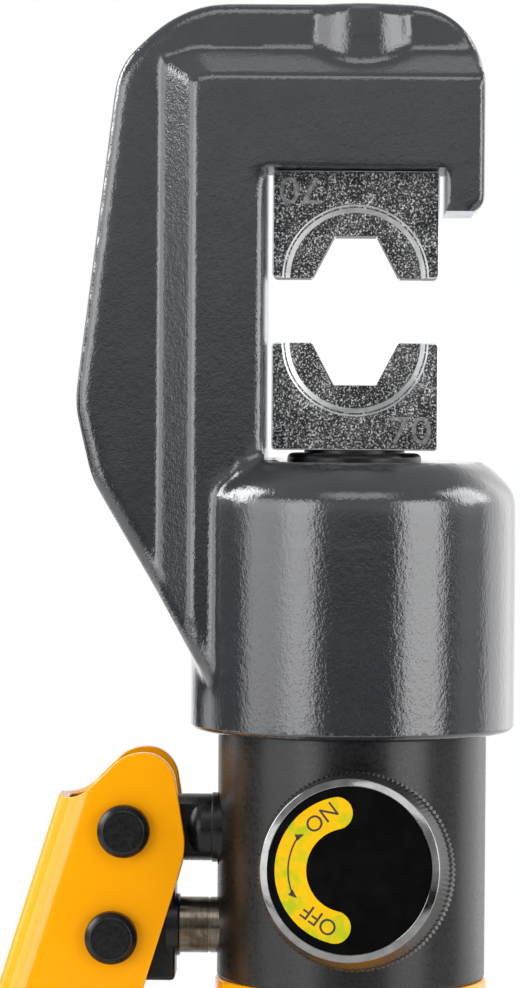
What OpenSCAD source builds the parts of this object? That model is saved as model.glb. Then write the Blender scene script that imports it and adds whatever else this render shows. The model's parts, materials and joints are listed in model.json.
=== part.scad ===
// Hand hydraulic crimping tool with a C-shaped head, half-hexagon dies,
// a lever pump and a release knob. Millimetres, +Z towards the head.
// The origin is the centre of the flat end of the fixed handle.

/* [Fixed handle] */
// Length of the rubber grip on the fixed handle
grip_len = 92; // [80:1:110]
// Outside diameter of the grip over its ribs
grip_d = 46; // [44:0.5:52]
// Number of ribs on each grip
grip_ribs = 9; // [5:1:12]
// Rubber under the end of the tube
grip_floor = 3; // [2:0.5:6]
// Length of bare tube above the grip
tube_show = 44.5; // [38:0.5:60]
// Step of the tube's outside beyond the pump body
tube_step = 0.3; // [0.1:0.1:2]
// Tube diameter under the grip
tube_neck_d = 40; // [36:0.5:42]
// Tube wall thickness
tube_wall = 2.6; // [2:0.1:3.5]

/* [Pump body] */
// Pump body diameter
body_d = 48; // [46:0.5:54]
// Visible length of the pump body
body_len = 44.5; // [42:0.5:55]
// Height of the lever pivot above the tube
pivot_up = 26.5; // [24:0.5:30]
// Height of the pump plunger above the tube
plunger_up = 8.9; // [8:0.1:10]
// Plunger diameter
plunger_d = 10; // [8:0.5:11]
// Height of the release knob above the tube
knob_up = 23; // [20:0.5:26]

/* [Head] */
// Collar diameter
collar_d = 58; // [56:0.5:66]
// Collar height
collar_h = 48; // [47:0.5:60]
// Chamfer on the top of the collar
collar_chamfer = 5.4; // [3:0.1:6]
// Half thickness of the raised inner part of the head
raised_half = 15.5; // [13:0.5:18]
// Half thickness of the outer flange of the head
flange_half = 10; // [8:0.5:12]
// Height of the bridge above the die seat
bridge_h = 29.5; // [24:0.5:36]
// Reach of the head's back behind the ram axis
back_reach = 49.8; // [46:0.2:60]
// Depth of the lip beside the upper die
lip_depth = 7.4; // [4:0.2:8]
// Thickness of the lip
lip_t = 6.4; // [5:0.2:10]
// Half width of the screw boss on the bridge
boss_half = 8.3; // [7:0.1:9.5]

/* [Dies and ram] */
// Width of a die
die_w = 29.5; // [26:0.5:34]
// Height of a die
die_h = 19; // [17:0.5:24]
// Thickness of a die
die_t = 16; // [12:0.5:20]
// Width across flats of the hexagon that the dies close to
hex_af = 13.4; // [8:0.2:15]
// Depth of the half hexagon in each die
hex_depth = 7.5; // [4:0.1:8]
// Ram diameter
ram_d = 24; // [23:0.5:28]
// Piston diameter
piston_d = 36; // [34:0.5:38]
// Travel of the ram
ram_stroke = 11.5; // [8:0.5:12]
// Ram showing above the collar when retracted
ram_show = 2; // [1.5:0.5:5]

/* [Lever] */
// Lever pivot, distance from the ram axis
pivot_out = 40.5; // [38:0.5:46]
// Link pin, distance below the pivot along the plunger's plane
link_drop = 19; // [18:0.5:21]
// Link pin, distance outside the pivot
link_out = 2.1; // [0:0.1:3]
// Lean of the lever from upright as drawn
lever_tilt = 17.3; // [12:0.1:22]
// Width of the lever's side plates
lever_w = 25; // [22:0.5:28]
// Overall thickness of the lever
lever_t = 16; // [14:0.5:20]
// Sheet thickness of the lever
lever_sheet = 2; // [1.5:0.1:2.5]
// Lever length below the pivot
lever_len = 157; // [130:1:157]
// Length of the rubber grip on the lever
lever_grip_len = 88; // [60:1:100]
// Diameter of the two lever pins
pin_d = 6; // [5:0.5:7]
// Diameter of the pin heads
pin_head_d = 9.4; // [8:0.2:11]

/* [Release knob] */
// Diameter over the knob's knurl
knob_d = 34.6; // [30:0.2:38]
// Depth of the knob
knob_depth = 8.4; // [7:0.1:9]
// Number of knurl teeth
knob_teeth = 72; // [48:4:96]
// Turn of the valve axis towards the lever
knob_yaw = 11; // [0:0.5:12]
// Rise of the valve axis towards the head
knob_pitch = 8; // [0:0.5:8]

/* [Hidden] */
$fn = 64;

// Clearances
run_gap = 0.05;
thread_gap = 0.05;
soft_gap = 0.3;
seat_gap = 0.1;
over = 1;

// Levels up the tool
tube_top_z = grip_len + tube_show;
body_top_z = tube_top_z + body_len;
collar_top_z = body_top_z + collar_h;
ram_top_z = collar_top_z + ram_show;
lower_die_top_z = ram_top_z + die_h;
seat_z = lower_die_top_z + ram_stroke + die_h;
head_top_z = seat_z + bridge_h;

// Cylinder in the collar
spigot_d = piston_d + 4;
spigot_h = 16;
spigot_top_z = body_top_z + spigot_h;
piston_lift = 1;
piston_z = spigot_top_z + piston_lift;
piston_h = 9;
cylinder_top_z = piston_z + piston_h + ram_stroke + 2.5;
seal_h = 3;
backup_h = 1.5;
groove_depth = 3.5;
groove_z = piston_z + 2;
wiper_h = 3;
wiper_w = 3;
wiper_z = (cylinder_top_z + collar_top_z - wiper_h) / 2;

// Hollow in the ram for the return spring
ram_bore_d = 16;
retainer_h = 3;
rod_d = 7;
rod_head_d = 13;
rod_head_h = 3;
rod_head_top_z = ram_top_z - 7.5;
rod_thread_d = 6;
rod_thread_h = 12;
ram_bore_top_z = rod_head_top_z + 0.6;
return_wire_r = 0.65;
return_coil_r = 5.2;
return_turns = 4;
pad_d = 18;
pad_h = 0.6;
die_pin_d = 6;
die_pin_h = 10;
die_hole_depth = 5.5;

// Head outline: the throat's walls stand off the dies by a working gap
die_side_gap = 1.4;
wall_x = die_w / 2 + die_side_gap;
lip_x = wall_x + lip_t;
nose_r = 11;
slope_out = 15.2;
slope_in = 21.2;
bridge_slope_out = 8.3;
bridge_slope_in = 13.4;
boss_x = 1;
boss_r = sqrt(flange_half * flange_half + boss_half * boss_half);
relief_r = 0.9;
heel_in = 7.6;
heel_up = 1.6;
belly_in = 3.1;
belly_drop = 3.4;
belly_r = 14;
spine_up = 10;
spine_r = 12;
shoulder_in = 7.4;
shoulder_drop = 11;
crown_in = 19.4;
crown_r = 20;
lip_out_r = 2.5;
lip_in_r = 1.5;
arm_root_up = 20;

// Upper die lock in the bridge
lock_hole_d = 6;
lock_lip_d = 4.9;
lock_lip_h = 0.6;
lock_ball_d = 5.5;
lock_screw_d = 8;
lock_screw_h = 9;
lock_screw_sink = 1;
lock_key_af = 4;
lock_ball_z = seat_z + lock_lip_h
    + sqrt(pow(lock_ball_d / 2, 2) - pow(lock_lip_d / 2, 2)) + 0.02;
lock_screw_z = head_top_z - lock_screw_sink - lock_screw_h;

// Pump
pivot_z = tube_top_z + pivot_up;
plunger_z = tube_top_z + plunger_up;
lower_spigot_h = 14.5;
body_base_z = tube_top_z - lower_spigot_h;
tube_d = body_d + 2 * tube_step;
tube_bore_d = tube_d - 2 * tube_wall;
nipple_d = 20;
nipple_h = 14;
nipple_base_z = body_base_z - nipple_h;
plunger_tip_x = -2;
plunger_throw_in = 4.5;
pump_end_x = plunger_tip_x + plunger_throw_in + 1;
port_d = 2.6;
gallery_d = 3.4;
delivery_x = 9;
suction_x = 5;
valve_d = 7;
ball_d = 5;
valve_seat_h = 6;
delivery_seat_z = pivot_z + 2;
delivery_plug_h = 7;
delivery_plug_z = spigot_top_z - 2 - delivery_plug_h;
suction_spring_h = 7;
suction_top_z = plunger_z - plunger_d / 2 - 1.5;
suction_ball_z = suction_top_z - suction_spring_h - ball_d / 2;
plunger_seal_x = -body_d / 2 + 7;
plunger_seal_w = 2;
plunger_seal_h = 2.5;

// Relief valve at the back of the pump
relief_x = -6;
relief_up = 36.5;
relief_z = tube_top_z + relief_up;
relief_d = 8;
relief_screw_h = 7;
relief_screw_sink = 0.5;
relief_room = 9.3;
relief_far = sqrt(pow(body_d / 2, 2) - pow(abs(relief_x) + relief_d / 2, 2));
relief_screw_y = relief_far - relief_screw_h - relief_screw_sink;
relief_seat_y = relief_screw_y - relief_room;

// Lever pivot lug
lug_d = 12;
lug_ring_d = 14;
lug_ring_h = 1.4;
lug_thread_d = 8;
lug_thread_h = 11;
lug_seat_x = -(sqrt(pow(body_d / 2, 2) - pow(lug_ring_d / 2, 2)) - 0.2);
tongue_t = 8;
tongue_root_x = lug_seat_x - lug_ring_h - 8;

// Lever
pivot_x = -pivot_out;
link_x = pivot_x - link_out;
link_z = pivot_z - link_drop;
lever_back_u = -13.2;
lever_front_u = lever_back_u + lever_w;
lever_bend_r = 4;
ear_top = 14.6;
spine_top = 3;
yoke_end = 7;
grip_wall = 3.2;
rib_h = 1.1;
grip_corner_r = 7;
grip_edge = 1.8;
grip_band = 9;
lever_grip_top = lever_len - lever_grip_len;
pin_head_h = 3;
clip_t = 1;
clip_groove = 0.7;
clip_d = 10;
clip_mouth = 3.2;
pin_tail = 2.6;

// Plunger block with the slot that the link pin slides in
block_t = lever_t - 2 * lever_sheet - 3;
block_front_x = -31.4;
block_wall = 4.2;
slot_play_x = 0.5;
slot_play_z = 0.3;
slot_half = pin_d / 2 + slot_play_x;
link_rise = 5.4;
link_r = sqrt(link_drop * link_drop + link_out * link_out);
slot_low_z = pivot_z - link_r - pin_d / 2 - slot_play_z;
slot_high_z = link_z + link_rise + pin_d / 2 + slot_play_z;
block_low_z = slot_low_z - 4.8;
block_high_z = slot_high_z + 2.4;
block_back_x = link_x - slot_half - block_wall;

// Release valve, along a slightly turned axis through the knob's face
knob_x = -0.4;
knob_z = tube_top_z + knob_up;
knob_stand = 11.5;
knob_face_y = -body_d / 2 - knob_stand;
knob_bevel = 1.55;
knob_taper = 4.6;
knob_plate_d = 28.4;
knob_plate_t = 1;
knob_plate_sink = 0.4;
knob_hub_d = 14;
knurl_depth = 0.5;
spindle_d = 8;
spindle_thread_d = 10;
spindle_nose_d = 5;
knob_back_bevel = 0.8;
spindle_shoulder = 15.5;
spindle_thread_end = 27;
spindle_end = 31;
spindle_seal_w = 1.5;
spindle_seal_in_d = spindle_thread_d - 2 * spindle_seal_w;
spindle_seal_h = 2;
spindle_seal_at = 19;
release_ball_at = -spindle_end + sqrt(pow(ball_d / 2, 2) - pow(port_d / 2, 2)) + 0.02;
knob_screw_d = 4;
knob_screw_len = 7;
knob_screw_at = 5.6;

// Reservoir
swage_top = 18;
swage_low = 30;
neck_bore_d = tube_neck_d - 2 * tube_wall;
swage_top_z = tube_top_z - swage_top;
swage_low_z = tube_top_z - swage_low;
plug_h = 15;
plug_seal_w = 2.2;
plug_seal_in_d = neck_bore_d - 2 * plug_seal_w;
plug_seal_h = 3;
plug_seal_down = 6;
plug_key_af = 10;
plug_key_depth = 6;
bladder_wall = 1.8;
bladder_neck_len = 11;
clamp_wall = 1.5;
clamp_h = 6;
tube_end_z = grip_floor;
plug_top_z = grip_floor + plug_h;
bladder_base_z = plug_top_z + 3;
bladder_neck_d = nipple_d + 2 * bladder_wall;
bladder_shoulder_z = nipple_base_z - 8;
bladder_d = neck_bore_d - 2 * soft_gap;

// Corner of an outline as arc points
function unit(v) = v / norm(v);
function half_turn(a) = a > 180 ? a - 360 : a < -180 ? a + 360 : a;
function corner(a, b, c, r, n) =
    r == 0 ? [b] :
    let (u = unit(a - b), v = unit(c - b), half = acos(u * v) / 2)
    let (mid = b + unit(u + v) * r / sin(half), from = b + u * r / tan(half), to = b + v * r / tan(half))
    let (start = atan2(from.y - mid.y, from.x - mid.x), stop = atan2(to.y - mid.y, to.x - mid.x))
    [for (i = [0 : n]) mid + r * [cos(start + half_turn(stop - start) * i / n),
                                  sin(start + half_turn(stop - start) * i / n)]];
// Each row of an outline is x, y and the corner radius there
function rounded(rows, n = 8) = let (m = len(rows))
    [for (i = [0 : m - 1]) each corner(
        [rows[(i + m - 1) % m].x, rows[(i + m - 1) % m].y], [rows[i].x, rows[i].y],
        [rows[(i + 1) % m].x, rows[(i + 1) % m].y], rows[i][2], n)];
function box_rows(x0, x1, y0, y1, r) = [[x0, y0, r], [x1, y0, r], [x1, y1, r], [x0, y1, r]];

// A profile drawn in X and Z, extruded along Y about the middle plane
module along_y(t) {
    rotate([90, 0, 0]) linear_extrude(t, center = true) children();
}
// A profile drawn in Y and Z, extruded along X
module along_x(x0, x1) {
    translate([x0, 0, 0]) rotate([90, 0, 90]) linear_extrude(x1 - x0) children();
}
// Round rod along X
module rod_x(d, x0, x1) {
    translate([x0, 0, 0]) rotate([0, 90, 0]) cylinder(d = d, h = x1 - x0);
}
// Round rod along Y
module rod_y(d, y0, y1) {
    translate([0, y0, 0]) rotate([-90, 0, 0]) cylinder(d = d, h = y1 - y0);
}
// Round rod up Z
module rod_z(d, z0, z1) {
    translate([0, 0, z0]) cylinder(d = d, h = z1 - z0);
}
// Plain ring up Z
module ring_z(d_out, d_in, z0, h) {
    difference() {
        rod_z(d_out, z0, z0 + h);
        rod_z(d_in, z0 - over, z0 + h + over);
    }
}
// Seal ring with a round section, fitting a groove from d_in to d_out
module seal_z(d_out, d_in, z0, h) {
    edge_r = min(h, (d_out - d_in) / 2) * 0.4;
    rotate_extrude() polygon(rounded(box_rows(d_in / 2, d_out / 2, z0, z0 + h, edge_r), 4));
}

// Coil spring as one unbroken tube
coil_sides = 6;
coil_rings = 12;
function coil_points(r, w, turns, h) =
    [for (i = [0 : coil_rings * turns])
        let (a = 360 * i / coil_rings, z = w + (h - 2 * w) * i / (coil_rings * turns))
        for (j = [0 : coil_sides - 1]) let (b = 360 * j / coil_sides)
            [(r + w * cos(b)) * cos(a), (r + w * cos(b)) * sin(a), z + w * sin(b)]];
function coil_faces(rings) = concat(
    [for (i = [0 : rings - 1]) for (j = [0 : coil_sides - 1]) for (side = [0, 1])
        let (a = i * coil_sides + j, b = i * coil_sides + (j + 1) % coil_sides)
        side == 0 ? [a, b, b + coil_sides] : [a, b + coil_sides, a + coil_sides]],
    [for (j = [1 : coil_sides - 2]) [0, j + 1, j]],
    [for (j = [1 : coil_sides - 2]) let (k = rings * coil_sides) [k, k + j, k + j + 1]]);
module coil(r, w, turns, h) {
    echo(coil_gap = (h - 2 * w) / turns - 2 * w);
    polyhedron(coil_points(r, w, turns, h), coil_faces(coil_rings * turns), convexity = 10);
}

// The lever's own frame: the pivot at the origin, +Z up along the lever
module at_lever() {
    translate([pivot_x, 0, pivot_z]) rotate([0, lever_tilt, 0]) children();
}
// The valve's own frame: +Z out of the knob's face, which is at zero
module at_valve() {
    translate([knob_x, knob_face_y, knob_z]) rotate([90 - knob_pitch, 0, -knob_yaw]) children();
}

// Head: C outline, thinned to a flange round its back and top
head_rows = [
    [-collar_d / 2 + heel_in, body_top_z + heel_up, 0],
    [-back_reach + belly_in, collar_top_z - belly_drop, belly_r],
    [-back_reach, collar_top_z + spine_up, spine_r],
    [-back_reach + shoulder_in, head_top_z - shoulder_drop, spine_r],
    [-back_reach + crown_in, head_top_z, crown_r],
    [lip_x, head_top_z, nose_r],
    [lip_x, seat_z - lip_depth, lip_out_r],
    [wall_x, seat_z - lip_depth, lip_in_r],
    [wall_x, seat_z, 0],
    [-wall_x, seat_z, 0],
    [-wall_x, body_top_z + arm_root_up, 0]
];
module head_section() {
    polygon([
        [-back_reach - over, -flange_half], [-back_reach + slope_out, -flange_half],
        [-back_reach + slope_in, -raised_half], [lip_x + over, -raised_half],
        [lip_x + over, raised_half], [-back_reach + slope_in, raised_half],
        [-back_reach + slope_out, flange_half], [-back_reach - over, flange_half]
    ]);
}
module bridge_section() {
    polygon([
        [-raised_half, body_top_z], [raised_half, body_top_z],
        [raised_half, head_top_z - bridge_slope_in], [flange_half, head_top_z - bridge_slope_out],
        [flange_half, head_top_z + over], [-flange_half, head_top_z + over],
        [-flange_half, head_top_z - bridge_slope_out], [-raised_half, head_top_z - bridge_slope_in]
    ]);
}
module head_arm() {
    intersection() {
        along_y(2 * raised_half) polygon(rounded(head_rows));
        translate([0, 0, body_top_z]) linear_extrude(head_top_z - body_top_z + over) head_section();
        along_x(-back_reach - over, lip_x + over) bridge_section();
    }
}
collar_edge_r = 1.4;
module collar() {
    r = collar_d / 2;
    rotate_extrude() polygon(rounded([
        [0, body_top_z, 0], [r, body_top_z, collar_edge_r],
        [r, collar_top_z - collar_chamfer, 2 * collar_edge_r],
        [r - collar_chamfer, collar_top_z, collar_edge_r],
        [0, collar_top_z, 0]
    ], 5));
}
module head_frame() {
    color("dimgray") difference() {
        union() {
            head_arm();
            collar();
            translate([boss_x, 0, 0]) rod_z(2 * boss_r, seat_z + bridge_h / 3, head_top_z);
        }
        rod_z(spigot_d + 2 * thread_gap, body_top_z - over, spigot_top_z);
        rod_z(piston_d + 2 * run_gap, spigot_top_z - over, cylinder_top_z);
        rod_z(ram_d + 2 * run_gap, cylinder_top_z - over, collar_top_z + over);
        rod_z(ram_d + 2 * wiper_w, wiper_z, wiper_z + wiper_h);
        for (side = [-1, 1])
            translate([side * wall_x, 0, seat_z])
                rod_y(2 * relief_r, -raised_half - over, raised_half + over);
        rod_z(lock_lip_d, seat_z - over, seat_z + lock_lip_h + over);
        rod_z(lock_hole_d, seat_z + lock_lip_h, lock_screw_z + over);
        rod_z(lock_screw_d + 2 * thread_gap, lock_screw_z, head_top_z + over);
    }
}
module die_lock_screw() {
    color("black") difference() {
        rod_z(lock_screw_d, lock_screw_z, lock_screw_z + lock_screw_h);
        translate([0, 0, lock_screw_z + lock_screw_h - 4])
            cylinder(d = lock_key_af / cos(30), h = 4 + over, $fn = 6);
    }
}
module die_lock_spring() {
    low_z = lock_ball_z + lock_ball_d / 2 + seat_gap;
    color("silver") translate([0, 0, low_z]) coil(2.2, 0.4, 6, lock_screw_z - seat_gap - low_z);
}
module die_lock_ball() {
    color("silver") translate([0, 0, lock_ball_z]) sphere(d = lock_ball_d);
}

// Die: a block with a half hexagon and a bevelled round sinking about it
die_corner_r = 0.7;
die_ring_r = 13;
die_ring_in_r = 11.6;
die_ring_depth = 1.2;
module die_blank() {
    hex_side = hex_af / sqrt(3);
    difference() {
        along_y(die_t) polygon(rounded(box_rows(-die_w / 2, die_w / 2, -die_h, 0, die_corner_r), 4));
        along_y(die_t + 2 * over) polygon([
            [-hex_side, over], [-hex_side, 0], [-hex_side / 2, -hex_depth],
            [hex_side / 2, -hex_depth], [hex_side, 0], [hex_side, over]
        ]);
        for (side = [0, 180]) rotate([0, 0, side]) translate([0, -die_t / 2 - 0.01, 0]) rotate([-90, 0, 0])
            cylinder(r1 = die_ring_r, r2 = die_ring_in_r, h = die_ring_depth + 0.01);
        rod_z(die_pin_d + 2 * run_gap, -die_h - over, -die_h + die_hole_depth);
    }
}
module upper_die() {
    color("lightsteelblue") translate([0, 0, seat_z - die_h]) rotate([0, 180, 0]) die_blank();
}
module lower_die() {
    color("lightsteelblue") translate([0, 0, lower_die_top_z]) die_blank();
}

// Ram: hollow rod and piston in one piece
module ram() {
    r = ram_d / 2;
    pr = piston_d / 2;
    color([0.12, 0.12, 0.13]) difference() {
        rotate_extrude() polygon(rounded([
            [0, piston_z, 0], [pr, piston_z, 0.5],
            [pr, piston_z + piston_h, 0.5], [r, piston_z + piston_h, 0],
            [r, ram_top_z - pad_h, 1], [pad_d / 2, ram_top_z - pad_h, 0],
            [pad_d / 2, ram_top_z, 0], [0, ram_top_z, 0]
        ], 5));
        rod_z(ram_bore_d, piston_z - over, ram_bore_top_z);
        ring_z(piston_d + 2 * over, piston_d - 2 * groove_depth, groove_z, seal_h + backup_h);
        rod_z(die_pin_d, ram_top_z - die_pin_h / 2, ram_top_z + over);
    }
}
module die_pin() {
    color("silver") rod_z(die_pin_d - 0.02, ram_top_z - die_pin_h / 2, ram_top_z + die_pin_h / 2 - seat_gap);
}
module piston_seal() {
    color([0.1, 0.1, 0.1]) seal_z(piston_d, piston_d - 2 * groove_depth, groove_z, seal_h);
}
module backup_ring() {
    color("ivory") ring_z(piston_d - 2 * run_gap, piston_d - 2 * groove_depth, groove_z + seal_h, backup_h);
}
module spring_retainer() {
    color("gray") ring_z(ram_bore_d - 2 * thread_gap, rod_d + 2 * soft_gap, piston_z, retainer_h);
}
module ram_wiper() {
    color([0.15, 0.15, 0.15]) seal_z(ram_d + 2 * wiper_w - 0.1, ram_d + 2 * run_gap, wiper_z, wiper_h);
}
module return_rod() {
    color("silver") union() {
        rod_z(rod_thread_d, spigot_top_z - rod_thread_h, spigot_top_z);
        rod_z(rod_d, spigot_top_z, rod_head_top_z);
        rod_z(rod_head_d, rod_head_top_z - rod_head_h, rod_head_top_z);
    }
}
return_low_z = piston_z + retainer_h + seat_gap;
return_high_z = rod_head_top_z - rod_head_h - seat_gap;
module return_spring() {
    color("silver") translate([0, 0, return_low_z])
        coil(return_coil_r, return_wire_r, return_turns, return_high_z - return_low_z);
}

// Pump body with its bores
module pump_body() {
    color([0.16, 0.16, 0.17]) difference() {
        union() {
            rotate_extrude() polygon(rounded([
                [0, body_base_z, 0], [tube_bore_d / 2 - thread_gap, body_base_z, 1],
                [tube_bore_d / 2 - thread_gap, tube_top_z, 0], [body_d / 2, tube_top_z, 0.6],
                [body_d / 2, body_top_z, 0.6], [spigot_d / 2, body_top_z, 0],
                [spigot_d / 2, spigot_top_z, 1], [0, spigot_top_z, 0]
            ], 4));
            rod_z(nipple_d, nipple_base_z, body_base_z + over);
        }
        body_seal_groove();
        translate([0, 0, plunger_z]) rod_x(plunger_d + 2 * run_gap, -body_d / 2 - over, pump_end_x);
        translate([0, 0, plunger_z]) rod_x(gallery_d, pump_end_x - over, delivery_x + gallery_d);
        translate([plunger_seal_x, 0, plunger_z])
            rod_x(plunger_d + 2 * plunger_seal_w + 2 * run_gap, 0, plunger_seal_h);
        translate([0, 0, pivot_z]) {
            rod_x(lug_thread_d + 2 * thread_gap, lug_seat_x - over, lug_seat_x + lug_thread_h);
            rod_x(lug_ring_d + 2 * seat_gap, -body_d / 2 - over, lug_seat_x);
        }
        translate([delivery_x, 0, 0]) {
            rod_z(port_d, plunger_z, delivery_seat_z + over);
            rod_z(valve_d, delivery_seat_z, spigot_top_z + over);
        }
        translate([suction_x, 0, 0]) {
            rod_z(valve_d, nipple_base_z - over, suction_top_z);
            rod_z(port_d, suction_top_z - over, plunger_z);
        }
        rod_z(rod_thread_d + 2 * thread_gap, spigot_top_z - rod_thread_h, spigot_top_z + over);
        translate([relief_x, 0, relief_z]) {
            rod_y(relief_d + 2 * thread_gap, relief_seat_y, body_d);
            rod_y(gallery_d, relief_seat_y - 5, relief_seat_y + over);
            translate([0, relief_seat_y - 3, 0]) rod_z(port_d, 0, spigot_top_z - relief_z + over);
        }
        at_valve() {
            rod_z(spindle_thread_d + 2 * thread_gap, -spindle_end, 0);
            rod_z(port_d, -spindle_end - 4, -spindle_end + over);
        }
    }
}
body_seal_w = 2;
body_seal_h = 2.6;
body_seal_z = body_top_z + 10;
module body_seal_groove() {
    ring_z(spigot_d + 2 * over, spigot_d - 2 * body_seal_w, body_seal_z, body_seal_h);
}
module body_seal() {
    color([0.1, 0.1, 0.1]) seal_z(spigot_d, spigot_d - 2 * body_seal_w, body_seal_z, body_seal_h);
}

// Lug that carries the lever
module pivot_lug() {
    color([0.1, 0.1, 0.11]) translate([0, 0, pivot_z]) difference() {
        union() {
            rod_x(lug_thread_d, lug_seat_x - over, lug_seat_x + lug_thread_h);
            rod_x(lug_ring_d, lug_seat_x - lug_ring_h, lug_seat_x);
            rod_x(lug_d, tongue_root_x, lug_seat_x - over);
            intersection() {
                rod_x(lug_d, pivot_x - lug_d, tongue_root_x + over);
                along_y(tongue_t) union() {
                    translate([pivot_x, 0]) circle(d = lug_d);
                    translate([pivot_x, -lug_d / 2]) square([tongue_root_x + over - pivot_x, lug_d]);
                }
            }
        }
        translate([pivot_x, 0, 0]) rod_y(pin_d + 2 * run_gap, -lug_d, lug_d);
    }
}

// Plunger with its slotted block
module plunger() {
    color([0.2, 0.19, 0.18]) difference() {
        union() {
            translate([0, 0, plunger_z]) rod_x(plunger_d, block_front_x - over, plunger_tip_x);
            along_y(block_t) polygon(rounded(
                box_rows(block_back_x, block_front_x, block_low_z, block_high_z, 1), 3));
        }
        translate([link_x, 0, 0]) along_y(block_t + 2 * over) polygon(rounded(
            box_rows(-slot_half, slot_half, slot_low_z, slot_high_z, pin_d / 2), 8));
    }
}
module plunger_seal() {
    color([0.1, 0.1, 0.1]) translate([plunger_seal_x, 0, plunger_z]) rotate([0, 90, 0])
        seal_z(plunger_d + 2 * plunger_seal_w, plunger_d + 2 * run_gap, 0, plunger_seal_h);
}

// Suction valve, below the pump chamber
module suction_ball() {
    color("silver") translate([suction_x, 0, suction_ball_z]) sphere(d = ball_d);
}
module suction_spring() {
    low_z = suction_ball_z + ball_d / 2 + seat_gap;
    color("silver") translate([suction_x, 0, low_z]) coil(2, 0.35, 3, suction_top_z - seat_gap - low_z);
}
module suction_seat() {
    top_z = suction_ball_z - 1.5;
    color("goldenrod") difference() {
        translate([suction_x, 0, 0]) rod_z(valve_d - 2 * thread_gap, top_z - valve_seat_h, top_z);
        translate([suction_x, 0, 0]) rod_z(port_d, top_z - valve_seat_h - over, top_z + over);
        translate([suction_x, 0, suction_ball_z]) sphere(d = ball_d + 2 * run_gap);
    }
}

// Delivery valve, above the pump chamber
delivery_ball_z = delivery_seat_z + sqrt(pow(ball_d / 2, 2) - pow(port_d / 2, 2)) + 0.02;
module delivery_ball() {
    color("silver") translate([delivery_x, 0, delivery_ball_z]) sphere(d = ball_d);
}
module delivery_spring() {
    low_z = delivery_ball_z + ball_d / 2 + seat_gap;
    color("silver") translate([delivery_x, 0, low_z]) coil(2, 0.35, 5, delivery_plug_z - seat_gap - low_z);
}
module delivery_plug() {
    color("goldenrod") translate([delivery_x, 0, 0])
        ring_z(valve_d - 2 * thread_gap, port_d - 1, delivery_plug_z, delivery_plug_h);
}

// Relief valve, with a slotted screw flush in the back of the pump
relief_ball_y = relief_seat_y + sqrt(pow(ball_d / 2, 2) - pow(gallery_d / 2, 2)) + 0.02;
module relief_ball() {
    color("silver") translate([relief_x, relief_ball_y, relief_z]) sphere(d = ball_d);
}
module relief_spring() {
    low_y = relief_ball_y + ball_d / 2 + seat_gap;
    color("silver") translate([relief_x, low_y, relief_z]) rotate([-90, 0, 0])
        coil(2.6, 0.5, 2, relief_screw_y - seat_gap - low_y);
}
module relief_screw() {
    slot_w = 1.2;
    slot_depth = 1.5;
    color("black") translate([relief_x, 0, relief_z]) difference() {
        rod_y(relief_d, relief_screw_y, relief_screw_y + relief_screw_h);
        translate([-relief_d, relief_screw_y + relief_screw_h - slot_depth, -slot_w / 2])
            cube([2 * relief_d, slot_depth + over, slot_w]);
    }
}

// Release valve and knob
function knurl_points(d, depth, teeth) = [for (i = [0 : 2 * teeth - 1])
    let (a = 180 * i / teeth, r = d / 2 - (i % 2 == 0 ? 0 : depth)) [r * cos(a), r * sin(a)]];
module release_knob() {
    color([0.1, 0.1, 0.1]) at_valve() difference() {
        union() {
            intersection() {
                translate([0, 0, -knob_depth])
                    linear_extrude(knob_depth) polygon(knurl_points(knob_d, knurl_depth, knob_teeth));
                rotate_extrude() polygon([
                    [0, -knob_depth], [knob_d / 2 - knob_back_bevel, -knob_depth],
                    [knob_d / 2 + over, -knob_depth + knob_back_bevel + over],
                    [knob_d / 2 + over, -knob_taper - over * knob_taper / knob_bevel],
                    [knob_d / 2 - knob_bevel, 0], [0, 0]
                ]);
            }
            rod_z(knob_hub_d, -knob_depth - 1.2, -knob_depth + over);
        }
        rod_z(knob_plate_d + 2 * seat_gap, -knob_plate_t - knob_plate_sink, over);
        rod_z(spindle_d + 2 * thread_gap, -knob_depth - 3, -knob_plate_t - knob_plate_sink - 1.2);
        translate([0, 0, -knob_screw_at]) rod_y(knob_screw_d + 2 * thread_gap, 0, knob_d);
    }
}
module knob_plate() {
    color([0.02, 0.02, 0.02]) at_valve()
        rod_z(knob_plate_d, -knob_plate_t - knob_plate_sink, -knob_plate_sink);
}
module knob_screw() {
    color("black") at_valve() translate([0, 0, -knob_screw_at])
        rod_y(knob_screw_d, spindle_d / 2 + seat_gap, spindle_d / 2 + seat_gap + knob_screw_len);
}
module valve_spindle() {
    color("gray") at_valve() difference() {
        union() {
            rod_z(spindle_d, -spindle_shoulder - over, -knob_plate_t - knob_plate_sink - 1.3);
            rod_z(spindle_thread_d - 2 * run_gap, -spindle_thread_end, -spindle_shoulder);
            rod_z(spindle_nose_d, -spindle_end + ball_d - 1.2, -spindle_thread_end + over);
        }
        ring_z(spindle_thread_d + over, spindle_seal_in_d, -spindle_seal_at, spindle_seal_h);
        translate([0, 0, release_ball_at]) sphere(d = ball_d + 2 * run_gap);
    }
}
module spindle_seal() {
    color([0.1, 0.1, 0.1]) at_valve()
        seal_z(spindle_thread_d, spindle_seal_in_d, -spindle_seal_at, spindle_seal_h);
}
module release_ball() {
    color("silver") at_valve() translate([0, 0, release_ball_at]) sphere(d = ball_d);
}

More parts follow.
